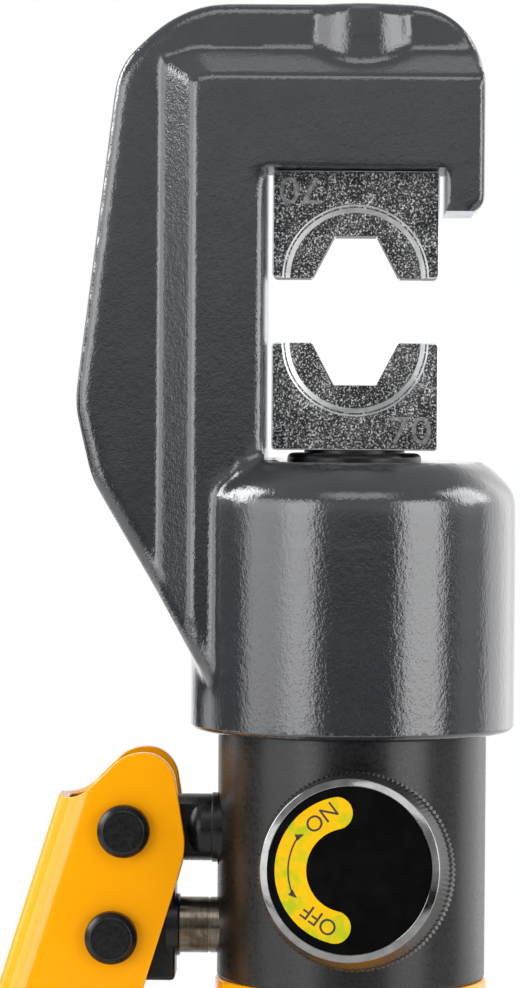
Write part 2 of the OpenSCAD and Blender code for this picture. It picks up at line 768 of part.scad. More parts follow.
// Reservoir: swaged tube, rubber bladder, plug and grip
module reservoir_tube() {
    color("orange") difference() {
        rotate_extrude() polygon(rounded([
            [neck_bore_d / 2, tube_end_z, 0], [tube_neck_d / 2, tube_end_z, 0],
            [tube_neck_d / 2, swage_low_z, 6], [tube_d / 2, swage_top_z, 6],
            [tube_d / 2, tube_top_z, 0.8], [tube_bore_d / 2, tube_top_z, 0],
            [tube_bore_d / 2, swage_top_z, 4], [neck_bore_d / 2, swage_low_z, 4]
        ], 5));
    }
}
module oil_bladder() {
    r = bladder_d / 2;
    n = bladder_neck_d / 2;
    neck_z = nipple_base_z + bladder_neck_len;
    color([0.12, 0.12, 0.12]) rotate_extrude() polygon(rounded([
        [0, bladder_base_z, 0], [r, bladder_base_z, 8],
        [r, bladder_shoulder_z - 4, 5], [n, nipple_base_z - 1, 3], [n, neck_z, 0.5],
        [nipple_d / 2 + run_gap, neck_z, 0], [nipple_d / 2 + run_gap, nipple_base_z - 1, 0],
        [n - bladder_wall, nipple_base_z - 2, 0], [r - bladder_wall, bladder_shoulder_z - 5, 4],
        [r - bladder_wall, bladder_base_z + bladder_wall, 6], [0, bladder_base_z + bladder_wall, 0]
    ], 4));
}
module bladder_clamp() {
    color("silver") ring_z(bladder_neck_d + 2 * clamp_wall, bladder_neck_d + 2 * run_gap,
        nipple_base_z + (bladder_neck_len - clamp_h) / 2, clamp_h);
}
// Grip profile: ribs up the side, a flared top and a flat closed end
function grip_rib_points(r, z0, z1) = let (pitch = (z1 - z0) / grip_ribs)
    [for (i = [0 : grip_ribs - 1]) each [
        [r - rib_h, z0 + pitch * i], [r, z0 + pitch * (i + 0.12)],
        [r, z0 + pitch * (i + 0.68)], [r - rib_h, z0 + pitch * (i + 0.8)]]];
module fixed_grip() {
    r = grip_d / 2;
    color([0.08, 0.08, 0.08]) difference() {
        rotate_extrude() polygon(concat(
            [[0, 0], [r - grip_edge, 0], [r, grip_edge], [r, grip_band], [r - rib_h, grip_band + rib_h]],
            grip_rib_points(r, grip_band + 2 * rib_h, grip_len - grip_band - 2 * rib_h),
            [[r - rib_h, grip_len - grip_band - rib_h], [r, grip_len - grip_band], [r, grip_len - grip_edge],
             [r - grip_edge, grip_len], [0, grip_len]]));
        rod_z(tube_neck_d + 2 * run_gap, tube_end_z, grip_len + over);
    }
}
module end_plug() {
    color("gray") difference() {
        rod_z(neck_bore_d - 2 * thread_gap, tube_end_z, plug_top_z);
        ring_z(neck_bore_d + over, plug_seal_in_d, plug_top_z - plug_seal_down, plug_seal_h);
        translate([0, 0, tube_end_z - over])
            cylinder(d = plug_key_af / cos(30), h = plug_key_depth + over, $fn = 6);
    }
}
module plug_seal() {
    color([0.1, 0.1, 0.1])
        seal_z(neck_bore_d - 2 * run_gap, plug_seal_in_d, plug_top_z - plug_seal_down, plug_seal_h);
}

// Lever: a bent channel trimmed to its side outline
lever_rows = [
    [lever_back_u, spine_top, 0.8],
    [lever_back_u + 3.7, spine_top + 0.7, 2.5],
    [lever_back_u + 10.8, ear_top, 5.4],
    [lever_front_u - 7.5, ear_top, 5.4],
    [lever_front_u - 0.3, 0.2, 5],
    [lever_front_u, -8, 6],
    [lever_front_u, -lever_len + yoke_end, 0],
    [lever_back_u, -lever_len + yoke_end, 0]
];
module lever_channel() {
    far = lever_front_u + 4;
    translate([0, 0, -lever_len]) linear_extrude(lever_len + ear_top + over) difference() {
        polygon(rounded([
            [lever_back_u, -lever_t / 2, lever_bend_r], [far, -lever_t / 2, 0],
            [far, lever_t / 2, 0], [lever_back_u, lever_t / 2, lever_bend_r]
        ]));
        polygon(rounded([
            [lever_back_u + lever_sheet, lever_sheet - lever_t / 2, lever_bend_r - lever_sheet],
            [far + over, lever_sheet - lever_t / 2, 0], [far + over, lever_t / 2 - lever_sheet, 0],
            [lever_back_u + lever_sheet, lever_t / 2 - lever_sheet, lever_bend_r - lever_sheet]
        ]));
    }
}
module handle_yoke() {
    color("orange") difference() {
        at_lever() intersection() {
            lever_channel();
            along_y(lever_t + over) polygon(rounded(lever_rows));
        }
        translate([pivot_x, 0, pivot_z]) rod_y(pin_d + 0.02, -lever_t, lever_t);
        translate([link_x, 0, link_z]) rod_y(pin_d + 0.02, -lever_t, lever_t);
    }
}
// Rubber grip on the lever, a ribbed rounded box with a closed end
module grip_layer(inset, v0, v1) {
    u0 = lever_back_u - grip_wall + inset;
    u1 = lever_front_u + grip_wall - inset;
    half = lever_t / 2 + grip_wall - inset;
    translate([0, 0, v0]) linear_extrude(v1 - v0)
        polygon(rounded(box_rows(u0, u1, -half, half, grip_corner_r - inset), 6));
}
module handle_grip() {
    low = -lever_len;
    high = -lever_grip_top;
    first = low + grip_band + 2 * rib_h;
    pitch = (lever_grip_len - 2 * (grip_band + 2 * rib_h)) / grip_ribs;
    color([0.08, 0.08, 0.08]) at_lever() difference() {
        union() {
            grip_layer(rib_h, low + 0.5, high - 0.5);
            grip_layer(rib_h / 2, low, low + grip_edge);
            grip_layer(0, low + grip_edge / 2, low + grip_band);
            grip_layer(0, high - grip_band, high);
            for (i = [0 : grip_ribs - 1])
                grip_layer(0, first + pitch * (i + 0.12), first + pitch * (i + 0.75));
        }
        translate([lever_back_u - run_gap, -lever_t / 2 - run_gap, low + yoke_end])
            cube([lever_w + 2 * run_gap, lever_t + 2 * run_gap, lever_len]);
    }
}
// Lever pin: domed head in front, clip groove behind
module lever_pin() {
    head_y = -lever_t / 2;
    tail_y = lever_t / 2 + pin_tail;
    color([0.1, 0.1, 0.1]) rotate([90, 0, 0]) rotate_extrude() polygon([
        [0, -tail_y], [pin_d / 2 - 0.5, -tail_y], [pin_d / 2, -tail_y + 0.5],
        [pin_d / 2, -lever_t / 2 - clip_t - 0.3], [pin_d / 2 - clip_groove, -lever_t / 2 - clip_t - 0.3],
        [pin_d / 2 - clip_groove, -lever_t / 2 - 0.2], [pin_d / 2, -lever_t / 2 - 0.2],
        [pin_d / 2, -head_y], [pin_head_d / 2, -head_y], [pin_head_d / 2, -head_y + pin_head_h - 1],
        [pin_head_d / 2 - 1, -head_y + pin_head_h], [0, -head_y + pin_head_h]
    ]);
}
module pivot_pin() {
    translate([pivot_x, 0, pivot_z]) lever_pin();
}
module link_pin() {
    translate([link_x, 0, link_z]) lever_pin();
}
// Open retaining clips behind the pins
module pin_clip() {
    y = lever_t / 2 + 0.25;
    rotate([-90, 0, 0]) translate([0, 0, y]) difference() {
        cylinder(d = clip_d, h = clip_t);
        translate([0, 0, -over]) cylinder(d = pin_d - 2 * clip_groove + 0.1, h = clip_t + 2 * over);
        translate([-clip_mouth / 2, 0, -over]) cube([clip_mouth, clip_d, clip_t + 2 * over]);
    }
}
module pin_clips() {
    color("silver") {
        translate([pivot_x, 0, pivot_z]) pin_clip();
        translate([link_x, 0, link_z]) pin_clip();
    }
}

head_frame();
die_lock_screw();
die_lock_spring();
die_lock_ball();
upper_die();
lower_die();
ram();
die_pin();
piston_seal();
backup_ring();
spring_retainer();
ram_wiper();
return_rod();
return_spring();
pump_body();
body_seal();
pivot_lug();
plunger();
plunger_seal();
suction_ball();
suction_spring();
suction_seat();
delivery_ball();
delivery_spring();
delivery_plug();
relief_ball();
relief_spring();
relief_screw();
release_knob();
knob_plate();
knob_screw();
valve_spindle();
spindle_seal();
release_ball();
reservoir_tube();
oil_bladder();
bladder_clamp();
fixed_grip();
end_plug();
plug_seal();
handle_yoke();
handle_grip();
pivot_pin();
link_pin();
pin_clips();
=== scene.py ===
import json
import math
import bmesh
import bpy
from mathutils import Matrix, Quaternion, Vector


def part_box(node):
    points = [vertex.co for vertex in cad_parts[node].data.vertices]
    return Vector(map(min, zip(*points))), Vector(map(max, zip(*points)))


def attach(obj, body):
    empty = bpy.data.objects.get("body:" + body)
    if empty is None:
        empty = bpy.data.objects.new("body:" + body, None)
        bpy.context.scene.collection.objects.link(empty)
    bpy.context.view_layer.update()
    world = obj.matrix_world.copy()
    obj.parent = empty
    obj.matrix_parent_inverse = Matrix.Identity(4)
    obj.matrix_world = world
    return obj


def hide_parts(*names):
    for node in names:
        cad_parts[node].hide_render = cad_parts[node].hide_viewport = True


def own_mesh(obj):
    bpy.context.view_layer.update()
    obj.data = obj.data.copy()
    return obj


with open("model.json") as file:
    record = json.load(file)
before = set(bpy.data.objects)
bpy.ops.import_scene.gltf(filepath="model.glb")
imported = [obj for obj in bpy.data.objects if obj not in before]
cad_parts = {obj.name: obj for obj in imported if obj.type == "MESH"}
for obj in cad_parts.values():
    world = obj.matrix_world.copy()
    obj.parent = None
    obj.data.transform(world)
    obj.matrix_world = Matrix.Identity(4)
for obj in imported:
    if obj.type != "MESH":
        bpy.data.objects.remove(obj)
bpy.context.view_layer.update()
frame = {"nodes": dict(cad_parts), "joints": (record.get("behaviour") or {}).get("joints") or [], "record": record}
nodes = frame["nodes"]
joints = {joint["name"]: joint for joint in frame["joints"]}
scene = bpy.context.scene
mm = 0.001  # pieces are modelled in millimetres and scaled when they are linked
print("frame loaded:", len(nodes), "nodes")

# camera at the photograph's place
cameraSetup = {
    "place": (-0.0001, -0.745, 0.2418), "aim": (-0.01676, 0.0, 0.22292), "roll": 0.4,
    "lens": 151.45, "sensor": 36.0, "clip": (0.01, 20.0),
}


def makeCamera(setup):
    data = bpy.data.cameras.new("photoCamera")
    data.sensor_width = setup["sensor"]
    data.lens = setup["lens"]
    data.clip_start, data.clip_end = setup["clip"]
    camera = bpy.data.objects.new("photoCamera", data)
    scene.collection.objects.link(camera)
    look = Vector(setup["aim"]) - Vector(setup["place"])
    turn = look.to_track_quat("-Z", "Y") @ Quaternion((0, 0, 1), math.radians(setup["roll"]))
    camera.location = setup["place"]
    camera.rotation_euler = turn.to_euler()
    scene.camera = camera


makeCamera(cameraSetup)
print("camera placed")


# shared node helpers: every pattern sits on Object coordinates
def startMaterial(name, sockets):
    material = bpy.data.materials.new(name)
    material.use_nodes = True
    tree = material.node_tree
    shader = tree.nodes["Principled BSDF"]
    for socket, value in sockets.items():
        shader.inputs[socket].default_value = value
    return material, tree, shader


def noiseOn(tree, scale, detail=3.0, rough=0.55, stretch=(1.0, 1.0, 1.0)):
    where = tree.nodes.new("ShaderNodeTexCoord")
    mapping = tree.nodes.new("ShaderNodeMapping")
    mapping.inputs["Scale"].default_value = stretch
    noise = tree.nodes.new("ShaderNodeTexNoise")
    noise.inputs["Scale"].default_value = scale
    noise.inputs["Detail"].default_value = detail
    noise.inputs["Roughness"].default_value = rough
    tree.links.new(where.outputs["Object"], mapping.inputs["Vector"])
    tree.links.new(mapping.outputs["Vector"], noise.inputs["Vector"])
    return noise.outputs["Fac"]


def placeOn(tree, axis):
    where = tree.nodes.new("ShaderNodeTexCoord")
    split = tree.nodes.new("ShaderNodeSeparateXYZ")
    tree.links.new(where.outputs["Object"], split.inputs["Vector"])
    return split.outputs[axis]


def rampOn(tree, source, stops):
    ramp = tree.nodes.new("ShaderNodeValToRGB")
    marks = ramp.color_ramp.elements
    while len(marks) < len(stops):
        marks.new(0.5)
    for mark, (at, shade) in zip(marks, stops):
        mark.position = at
        mark.color = (*shade, 1.0)
    tree.links.new(source, ramp.inputs["Fac"])
    return ramp.outputs["Color"]


def spanOn(tree, source, low, high, fromLow=0.3, fromHigh=0.7):
    span = tree.nodes.new("ShaderNodeMapRange")
    for socket, value in (("From Min", fromLow), ("From Max", fromHigh), ("To Min", low), ("To Max", high)):
        span.inputs[socket].default_value = value
    tree.links.new(source, span.inputs["Value"])
    return span.outputs["Result"]


def mathOn(tree, operation, first, second):
    step = tree.nodes.new("ShaderNodeMath")
    step.operation = operation
    step.use_clamp = True
    tree.links.new(first, step.inputs[0])
    tree.links.new(second, step.inputs[1])
    return step.outputs["Value"]


def mixOn(tree, factor, first, second):
    mix = tree.nodes.new("ShaderNodeMix")
    mix.data_type = "RGBA"
    tree.links.new(factor, mix.inputs["Factor"])
    tree.links.new(first, mix.inputs["A"])
    tree.links.new(second, mix.inputs["B"])
    return mix.outputs["Result"]


def bumpOn(tree, shader, layers):
    normal = None
    for source, distance, strength in layers:
        bump = tree.nodes.new("ShaderNodeBump")
        bump.inputs["Distance"].default_value = distance
        bump.inputs["Strength"].default_value = strength
        tree.links.new(source, bump.inputs["Height"])
        if normal is not None:
            tree.links.new(normal, bump.inputs["Normal"])
        normal = bump.outputs["Normal"]
    tree.links.new(normal, shader.inputs["Normal"])
    return normal


# one grain sets a finish's tones, and may set its roughness (low, high) and its bump (depth, strength);
# a patch lets other tones through where its own grain is high, and ripples also lie in the clear coat
def makeFinish(name, setup):
    material, tree, shader = startMaterial(name, setup["sockets"])
    grain = noiseOn(tree, **setup["grain"])
    tone = rampOn(tree, grain, setup["tones"])
    if "patch" in setup:
        patch = setup["patch"]
        spread = noiseOn(tree, **patch["grain"])
        cover = spanOn(tree, spread, *patch["cover"])
        if "leftOf" in patch:
            side = spanOn(tree, placeOn(tree, "X"), 1.0, 0.0, *patch["leftOf"])
            cover = mathOn(tree, "MULTIPLY", cover, side)
        tone = mixOn(tree, cover, tone, rampOn(tree, grain, patch["tones"]))
        if "rough" in patch:
            tree.links.new(spanOn(tree, spread, *patch["rough"]), shader.inputs["Roughness"])
    tree.links.new(tone, shader.inputs["Base Color"])
    if "rough" in setup:
        tree.links.new(spanOn(tree, grain, *setup["rough"]), shader.inputs["Roughness"])
    if "bump" in setup:
        bumpOn(tree, shader, [(grain, *setup["bump"])])
    if "ripples" in setup:
        layers = [(noiseOn(tree, **ripple), depth, strength) for ripple, depth, strength in setup["ripples"]]
        tree.links.new(bumpOn(tree, shader, layers), shader.inputs["Coat Normal"])
    return material


# slate enamel on the forged head: thick and glossy, rippled like orange peel
headPaint = makeFinish("headPaint", {
    "sockets": {"Roughness": 0.12, "IOR": 1.5, "Coat Weight": 1.0, "Coat Roughness": 0.07, "Coat IOR": 1.5},
    "grain": {"scale": 120, "detail": 5, "rough": 0.65},
    "tones": [(0.3, (0.022, 0.0238, 0.0280)), (0.7, (0.029, 0.0312, 0.0362))],
    "ripples": [({"scale": 330, "detail": 2}, 0.00018, 0.14),
                ({"scale": 1250, "detail": 2, "stretch": (1.0, 1.0, 0.7)}, 0.00012, 0.36),
                ({"scale": 2800, "detail": 2}, 0.00007, 0.5)],
})

# milled wall left bare inside the jaw
bareSteel = makeFinish("bareSteel", {
    "sockets": {"Metallic": 1.0, "Roughness": 0.24},
    "grain": {"scale": 60, "detail": 5, "rough": 0.6, "stretch": (6.0, 1.0, 60.0)},
    "tones": [(0.3, (0.42, 0.46, 0.50)), (0.7, (0.62, 0.66, 0.70))],
    "bump": (0.00003, 0.4),
})

# blasted plating on the dies, salt and pepper close up, paler in clouds
dieSteel = makeFinish("dieSteel", {
    "sockets": {"Metallic": 0.85},
    "grain": {"scale": 3200, "detail": 2, "rough": 0.65},
    "tones": [(0.42, (0.016, 0.016, 0.017)), (0.55, (0.08, 0.08, 0.082)), (0.68, (0.78, 0.78, 0.79))],
    "patch": {
        "grain": {"scale": 160}, "cover": (0.0, 1.0, 0.42, 0.62),
        "tones": [(0.40, (0.035, 0.035, 0.035)), (0.54, (0.15, 0.15, 0.15)), (0.66, (0.88, 0.88, 0.89))]},
    "rough": (0.5, 0.34), "bump": (0.00012, 0.8),
})

# turned bevel round the die's hexagon
dieRing = makeFinish("dieRing", {
    "sockets": {"Metallic": 1.0},
    "grain": {"scale": 700},
    "tones": [(0.3, (0.76, 0.76, 0.76)), (0.7, (0.94, 0.94, 0.94))],
    "rough": (0.40, 0.55),
})

# floor of the stamped figures
dieMark = makeFinish("dieMark", {
    "sockets": {"Metallic": 0.3, "Roughness": 0.5},
    "grain": {"scale": 1500, "detail": 2},
    "tones": [(0.3, (0.16, 0.16, 0.16)), (0.7, (0.38, 0.38, 0.375))],
})

# black oxide on pins, lug and ram, a little paler where it is worn
blackOxide = makeFinish("blackOxide", {
    "sockets": {"IOR": 1.5, "Specular IOR Level": 0.32},
    "grain": {"scale": 1500},
    "tones": [(0.35, (0.003, 0.003, 0.003)), (0.7, (0.006, 0.006, 0.006))],
    "patch": {
        "grain": {"scale": 220, "detail": 4}, "cover": (0.0, 1.0, 0.5, 0.7),
        "tones": [(0.35, (0.005, 0.005, 0.0045)), (0.7, (0.011, 0.0105, 0.0095))]},
    "rough": (0.24, 0.38), "bump": (0.00003, 0.4),
})

# satin black pump body, paler and browner in patches along its left side
bodyBlack = makeFinish("bodyBlack", {
    "sockets": {"IOR": 1.5},
    "grain": {"scale": 1700, "rough": 0.6},
    "tones": [(0.32, (0.0015, 0.0015, 0.0014)), (0.68, (0.0035, 0.0034, 0.0033))],
    "patch": {
        "grain": {"scale": 45, "detail": 4, "rough": 0.6, "stretch": (1.0, 1.0, 0.35)},
        "cover": (0.3, 1.0, 0.40, 0.62), "leftOf": (-0.0225, -0.0165),
        "tones": [(0.32, (0.009, 0.006, 0.004)), (0.68, (0.022, 0.015, 0.010))]},
    "rough": (0.25, 0.36), "bump": (0.00004, 0.5),
})

# plunger rod: oily steel with brown stains and tool marks round it
plungerSteel = makeFinish("plungerSteel", {
    "sockets": {"Metallic": 0.9},
    "grain": {"scale": 220, "detail": 4, "rough": 0.6, "stretch": (9.0, 1.0, 1.0)},
    "tones": [(0.3, (0.12, 0.104, 0.085)), (0.7, (0.19, 0.163, 0.132))],
    "patch": {
        "grain": {"scale": 300, "detail": 4}, "cover": (0.0, 1.0, 0.45, 0.6), "rough": (0.18, 0.28),
        "tones": [(0.3, (0.05, 0.034, 0.022)), (0.7, (0.11, 0.078, 0.05))]},
    "bump": (0.00004, 0.4),
})

# amber enamel on the lever and tube
amberPaint = makeFinish("amberPaint", {
    "sockets": {"Roughness": 0.45, "Specular IOR Level": 0.02,
                "Coat Weight": 0.9, "Coat Roughness": 0.12, "Coat IOR": 1.5},
    "grain": {"scale": 70, "detail": 4},
    "tones": [(0.3, (0.97, 0.370, 0.000)), (0.7, (1.0, 0.395, 0.000))],
    "ripples": [({"scale": 420, "detail": 2}, 0.00006, 0.3)],
})


# moulded rubber
def makeRubber(name, dark, pale, rough):
    return makeFinish(name, {
        "sockets": {"Specular IOR Level": 0.35},
        "grain": {"scale": 1900, "rough": 0.6},
        "tones": [(0.3, (dark, dark, dark)), (0.7, (pale, pale, pale))],
        "rough": rough, "bump": (0.00008, 0.6),
    })


# turned metal, with fine lines round it
def makeTurnedMetal(name, dark, pale, rough):
    return makeFinish(name, {
        "sockets": {"Metallic": 1.0},
        "grain": {"scale": 400, "detail": 4, "rough": 0.6, "stretch": (0.6, 0.6, 5.0)},
        "tones": [(0.3, dark), (0.7, pale)],
        "rough": rough, "bump": (0.00002, 0.35),
    })


gripRubber = makeRubber("gripRubber", 0.010, 0.022, (0.55, 0.72))
sealRubber = makeRubber("sealRubber", 0.007, 0.014, (0.45, 0.6))
brightSteel = makeTurnedMetal("brightSteel", (0.50, 0.50, 0.51), (0.66, 0.66, 0.67), (0.22, 0.34))
plugMetal = makeTurnedMetal("plugMetal", (0.55, 0.55, 0.56), (0.70, 0.70, 0.71), (0.28, 0.40))
valveBrass = makeTurnedMetal("valveBrass", (0.52, 0.34, 0.10), (0.68, 0.46, 0.16), (0.24, 0.36))

# pale plastic of the backup ring
sealPlastic = makeFinish("sealPlastic", {
    "sockets": {"Roughness": 0.5},
    "grain": {"scale": 300},
    "tones": [(0.3, (0.76, 0.74, 0.66)), (0.7, (0.82, 0.80, 0.72))],
})

# knurled black rim of the knob
knobBlack = makeFinish("knobBlack", {
    "sockets": {"Metallic": 0.06, "Specular IOR Level": 0.28},
    "grain": {"scale": 1300},
    "tones": [(0.35, (0.008, 0.008, 0.008)), (0.7, (0.026, 0.025, 0.024))],
    "rough": (0.28, 0.42),
})

# polished ring round the knob's face plate
knobBezel = makeFinish("knobBezel", {
    "sockets": {"Metallic": 1.0},
    "grain": {"scale": 420, "detail": 4, "rough": 0.65},
    "tones": [(0.3, (0.19, 0.19, 0.19)), (0.7, (0.30, 0.30, 0.30))],
    "rough": (0.10, 0.18), "bump": (0.00004, 0.4),
})

# glossy black face plate under the label
plateGloss = makeFinish("plateGloss", {
    "sockets": {"IOR": 1.45, "Specular IOR Level": 0.06},
    "grain": {"scale": 240, "detail": 4},
    "tones": [(0.4, (0.0012, 0.0012, 0.0012)), (0.75, (0.003, 0.0027, 0.0027))],
    "rough": (0.10, 0.20),
})

# yellow label film, mottled with green where it has lifted
labelFilm = makeFinish("labelFilm", {
    "sockets": {"Roughness": 0.35, "Specular IOR Level": 0.08},
    "grain": {"scale": 260, "rough": 0.6},
    "tones": [(0.42, (0.84, 0.45, 0.001)), (0.52, (0.74, 0.48, 0.002)), (0.64, (0.42, 0.47, 0.008))],
})

# ink of the arrow and the words
labelInk = makeFinish("labelInk", {
    "sockets": {"Roughness": 0.35},
    "grain": {"scale": 2000, "detail": 2},
    "tones": [(0.3, (0.010, 0.006, 0.003)), (0.7, (0.022, 0.014, 0.006))],
})

slotFinish = {
    "head_paint": headPaint, "die_steel": dieSteel, "black_oxide": blackOxide, "body_black": bodyBlack,
    "knob_black": knobBlack, "plate_gloss": plateGloss, "amber_paint": amberPaint,
    "grip_rubber": gripRubber, "seal_rubber": sealRubber, "seal_plastic": sealPlastic,
    "bright_steel": brightSteel, "plug_metal": plugMetal, "valve_brass": valveBrass,
}
print("finishes made:", len(slotFinish))


# mesh helpers
def shift(x, y, z):
    return Matrix.Translation((x, y, z))


def turnBy(degrees, axis):
    return Matrix.Rotation(math.radians(degrees), 4, axis)


def linkMesh(bm, name, materials, scale=mm):
    bmesh.ops.scale(bm, vec=(scale, scale, scale), verts=bm.verts)
    mesh = bpy.data.meshes.new(name)
    bm.to_mesh(mesh)
    bm.free()
    for material in materials:
        mesh.materials.append(material)
    piece = bpy.data.objects.new(name, mesh)
    scene.collection.objects.link(piece)
    return piece


def bakeModifiers(piece):
    graph = bpy.context.evaluated_depsgraph_get()
    done = bpy.data.meshes.new_from_object(piece.evaluated_get(graph))
    old = piece.data
    piece.modifiers.clear()
    piece.data = done
    bpy.data.meshes.remove(old)


def carve(piece, cutters):
    for cutter in cutters:
        cut = piece.modifiers.new(cutter.name, "BOOLEAN")
        cut.operation = "DIFFERENCE"
        cut.solver = "EXACT"
        cut.material_mode = "TRANSFER"
        cut.object = cutter
    bakeModifiers(piece)
    for cutter in cutters:
        mesh = cutter.data
        bpy.data.objects.remove(cutter)
        bpy.data.meshes.remove(mesh)


def finishPiece(piece, body, stands=(), sharp=35.0, even=True):
    piece.data.shade_smooth()
    piece.data.set_sharp_from_angle(angle=math.radians(sharp))
    if even:
        weigh = piece.modifiers.new("evenNormals", "WEIGHTED_NORMAL")
        weigh.keep_sharp = True
    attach(piece, body)
    if stands:
        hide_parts(*stands)
    return piece


def breakEdges(bm, edges, offset, segments=3):
    return bmesh.ops.bevel(bm, geom=edges, offset=offset, offset_type="OFFSET", segments=segments,
                           profile=0.5, affect="EDGES", material=-1, clamp_overlap=True)["faces"]


def roundCorners(bm, corners, offset, segments):
    bmesh.ops.bevel(bm, geom=corners, offset=offset, offset_type="OFFSET", segments=segments,
                    profile=0.5, affect="VERTICES", material=-1, clamp_overlap=True)


def sharpEdges(bm, angle=30.0):
    return [e for e in bm.edges if len(e.link_faces) == 2 and e.calc_face_angle() > math.radians(angle)]


def edgesThrough(bm, least=1.0):  # the long edges from front to back
    return [e for e in bm.edges if abs(e.verts[0].co.y - e.verts[1].co.y) > least]


def vertsIn(geom):
    return [g for g in geom if isinstance(g, bmesh.types.BMVert)]


# rows are radius, height and the rounding of that edge
def turned(rows, steps=96, segments=4, merge=0.0005, near=0.002):
    bm = bmesh.new()
    spots = [bm.verts.new((radius, 0.0, height)) for radius, height, rounding in rows]
    lines = [bm.edges.new(pair) for pair in zip(spots, spots[1:])]
    bmesh.ops.spin(bm, geom=spots + lines, cent=(0, 0, 0), axis=(0, 0, 1), dvec=(0, 0, 0),
                   angle=2 * math.pi, steps=steps, use_merge=True)
    bmesh.ops.remove_doubles(bm, verts=bm.verts, dist=merge)
    bmesh.ops.recalc_face_normals(bm, faces=bm.faces)
    for radius, height, rounding in rows:
        if rounding:
            ring = [e for e in bm.edges if all(
                abs(v.co.z - height) < near and abs(v.co.xy.length - radius) < near for v in e.verts)]
            breakEdges(bm, ring, rounding, segments)
    return bm


# straight line swept round the z axis, from one angle to another
def swept(line, start, stop, steps):
    bm = bmesh.new()
    ends = [bm.verts.new(spot) for spot in line]
    edge = bm.edges.new(ends)
    bmesh.ops.rotate(bm, cent=(0, 0, 0), matrix=turnBy(start, "Z"), verts=ends)
    bmesh.ops.spin(bm, geom=ends + [edge], cent=(0, 0, 0), axis=(0, 0, 1), dvec=(0, 0, 0),
                   angle=math.radians(stop - start), steps=steps, use_merge=False)
    return bm


def block(low, high):
    bm = bmesh.new()
    bmesh.ops.create_cube(bm, size=1.0)
    bmesh.ops.scale(bm, vec=[b - a for a, b in zip(low, high)], verts=bm.verts)
    bmesh.ops.translate(bm, vec=[(a + b) / 2 for a, b in zip(low, high)], verts=bm.verts)
    return bm


def disc(radius, height, segments):
    bm = bmesh.new()
    bmesh.ops.create_circle(bm, cap_ends=True, cap_tris=False, segments=segments, radius=radius)
    bmesh.ops.translate(bm, vec=(0, 0, height), verts=bm.verts)
    return bm


def placed(bm, matrix):
    bmesh.ops.transform(bm, matrix=matrix, verts=bm.verts)
    return bm


def rodAlong(axis, radius, start, stop, steps=64):
    bm = turned([(0, start, 0), (radius, start, 0), (radius, stop, 0), (0, stop, 0)], steps)
    if axis == "x":
        placed(bm, turnBy(90, "Y"))
    if axis == "y":
        placed(bm, turnBy(-90, "X"))
    return bm


def extruded(bm, vector):
    faces = list(bm.faces)
    grown = bmesh.ops.extrude_face_region(bm, geom=faces)["geom"]
    bmesh.ops.translate(bm, vec=vector, verts=vertsIn(grown))
    bmesh.ops.recalc_face_normals(bm, faces=bm.faces)
    return bm


def flatWord(word, height):
    curve = bpy.data.curves.new(word, "FONT")
    curve.body = word
    curve.align_x = "CENTER"
    curve.resolution_u = 5
    holder = bpy.data.objects.new(word, curve)
    scene.collection.objects.link(holder)
    graph = bpy.context.evaluated_depsgraph_get()
    mesh = bpy.data.meshes.new_from_object(holder.evaluated_get(graph))
    bm = bmesh.new()
    bm.from_mesh(mesh)
    bpy.data.objects.remove(holder)
    bpy.data.curves.remove(curve)
    bpy.data.meshes.remove(mesh)
    bmesh.ops.remove_doubles(bm, verts=bm.verts, dist=1e-5)
    low = min(v.co.y for v in bm.verts)
    high = max(v.co.y for v in bm.verts)
    left = min(v.co.x for v in bm.verts)
    right = max(v.co.x for v in bm.verts)
    bmesh.ops.translate(bm, vec=(-(left + right) / 2, -(low + high) / 2, 0), verts=bm.verts)
    size = height / (high - low)
    bmesh.ops.scale(bm, vec=(size, size, size), verts=bm.verts)
    return bm


# places from the frame that several pieces share, and the angles at which the valve and the lever stand
pivotAt = Vector(joints["lever_swing"]["pos_m"]) / mm
valveAt = Vector(joints["knob_turn"]["pos_m"]) / mm
sealLow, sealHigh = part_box("plunger_seal")
plungerHeight = (sealLow[2] + sealHigh[2]) / 2 / mm
standSetup = {"valveTurn": -11.0, "valveTilt": 82.0, "leverLean": 17.3}
valveFrame = shift(*valveAt) @ turnBy(standSetup["valveTurn"], "Z") @ turnBy(standSetup["valveTilt"], "X")
leverFrame = shift(*pivotAt) @ turnBy(standSetup["leverLean"], "Y")
squareOn = 0.9  # a face looks along an axis when that part of its normal is larger than this

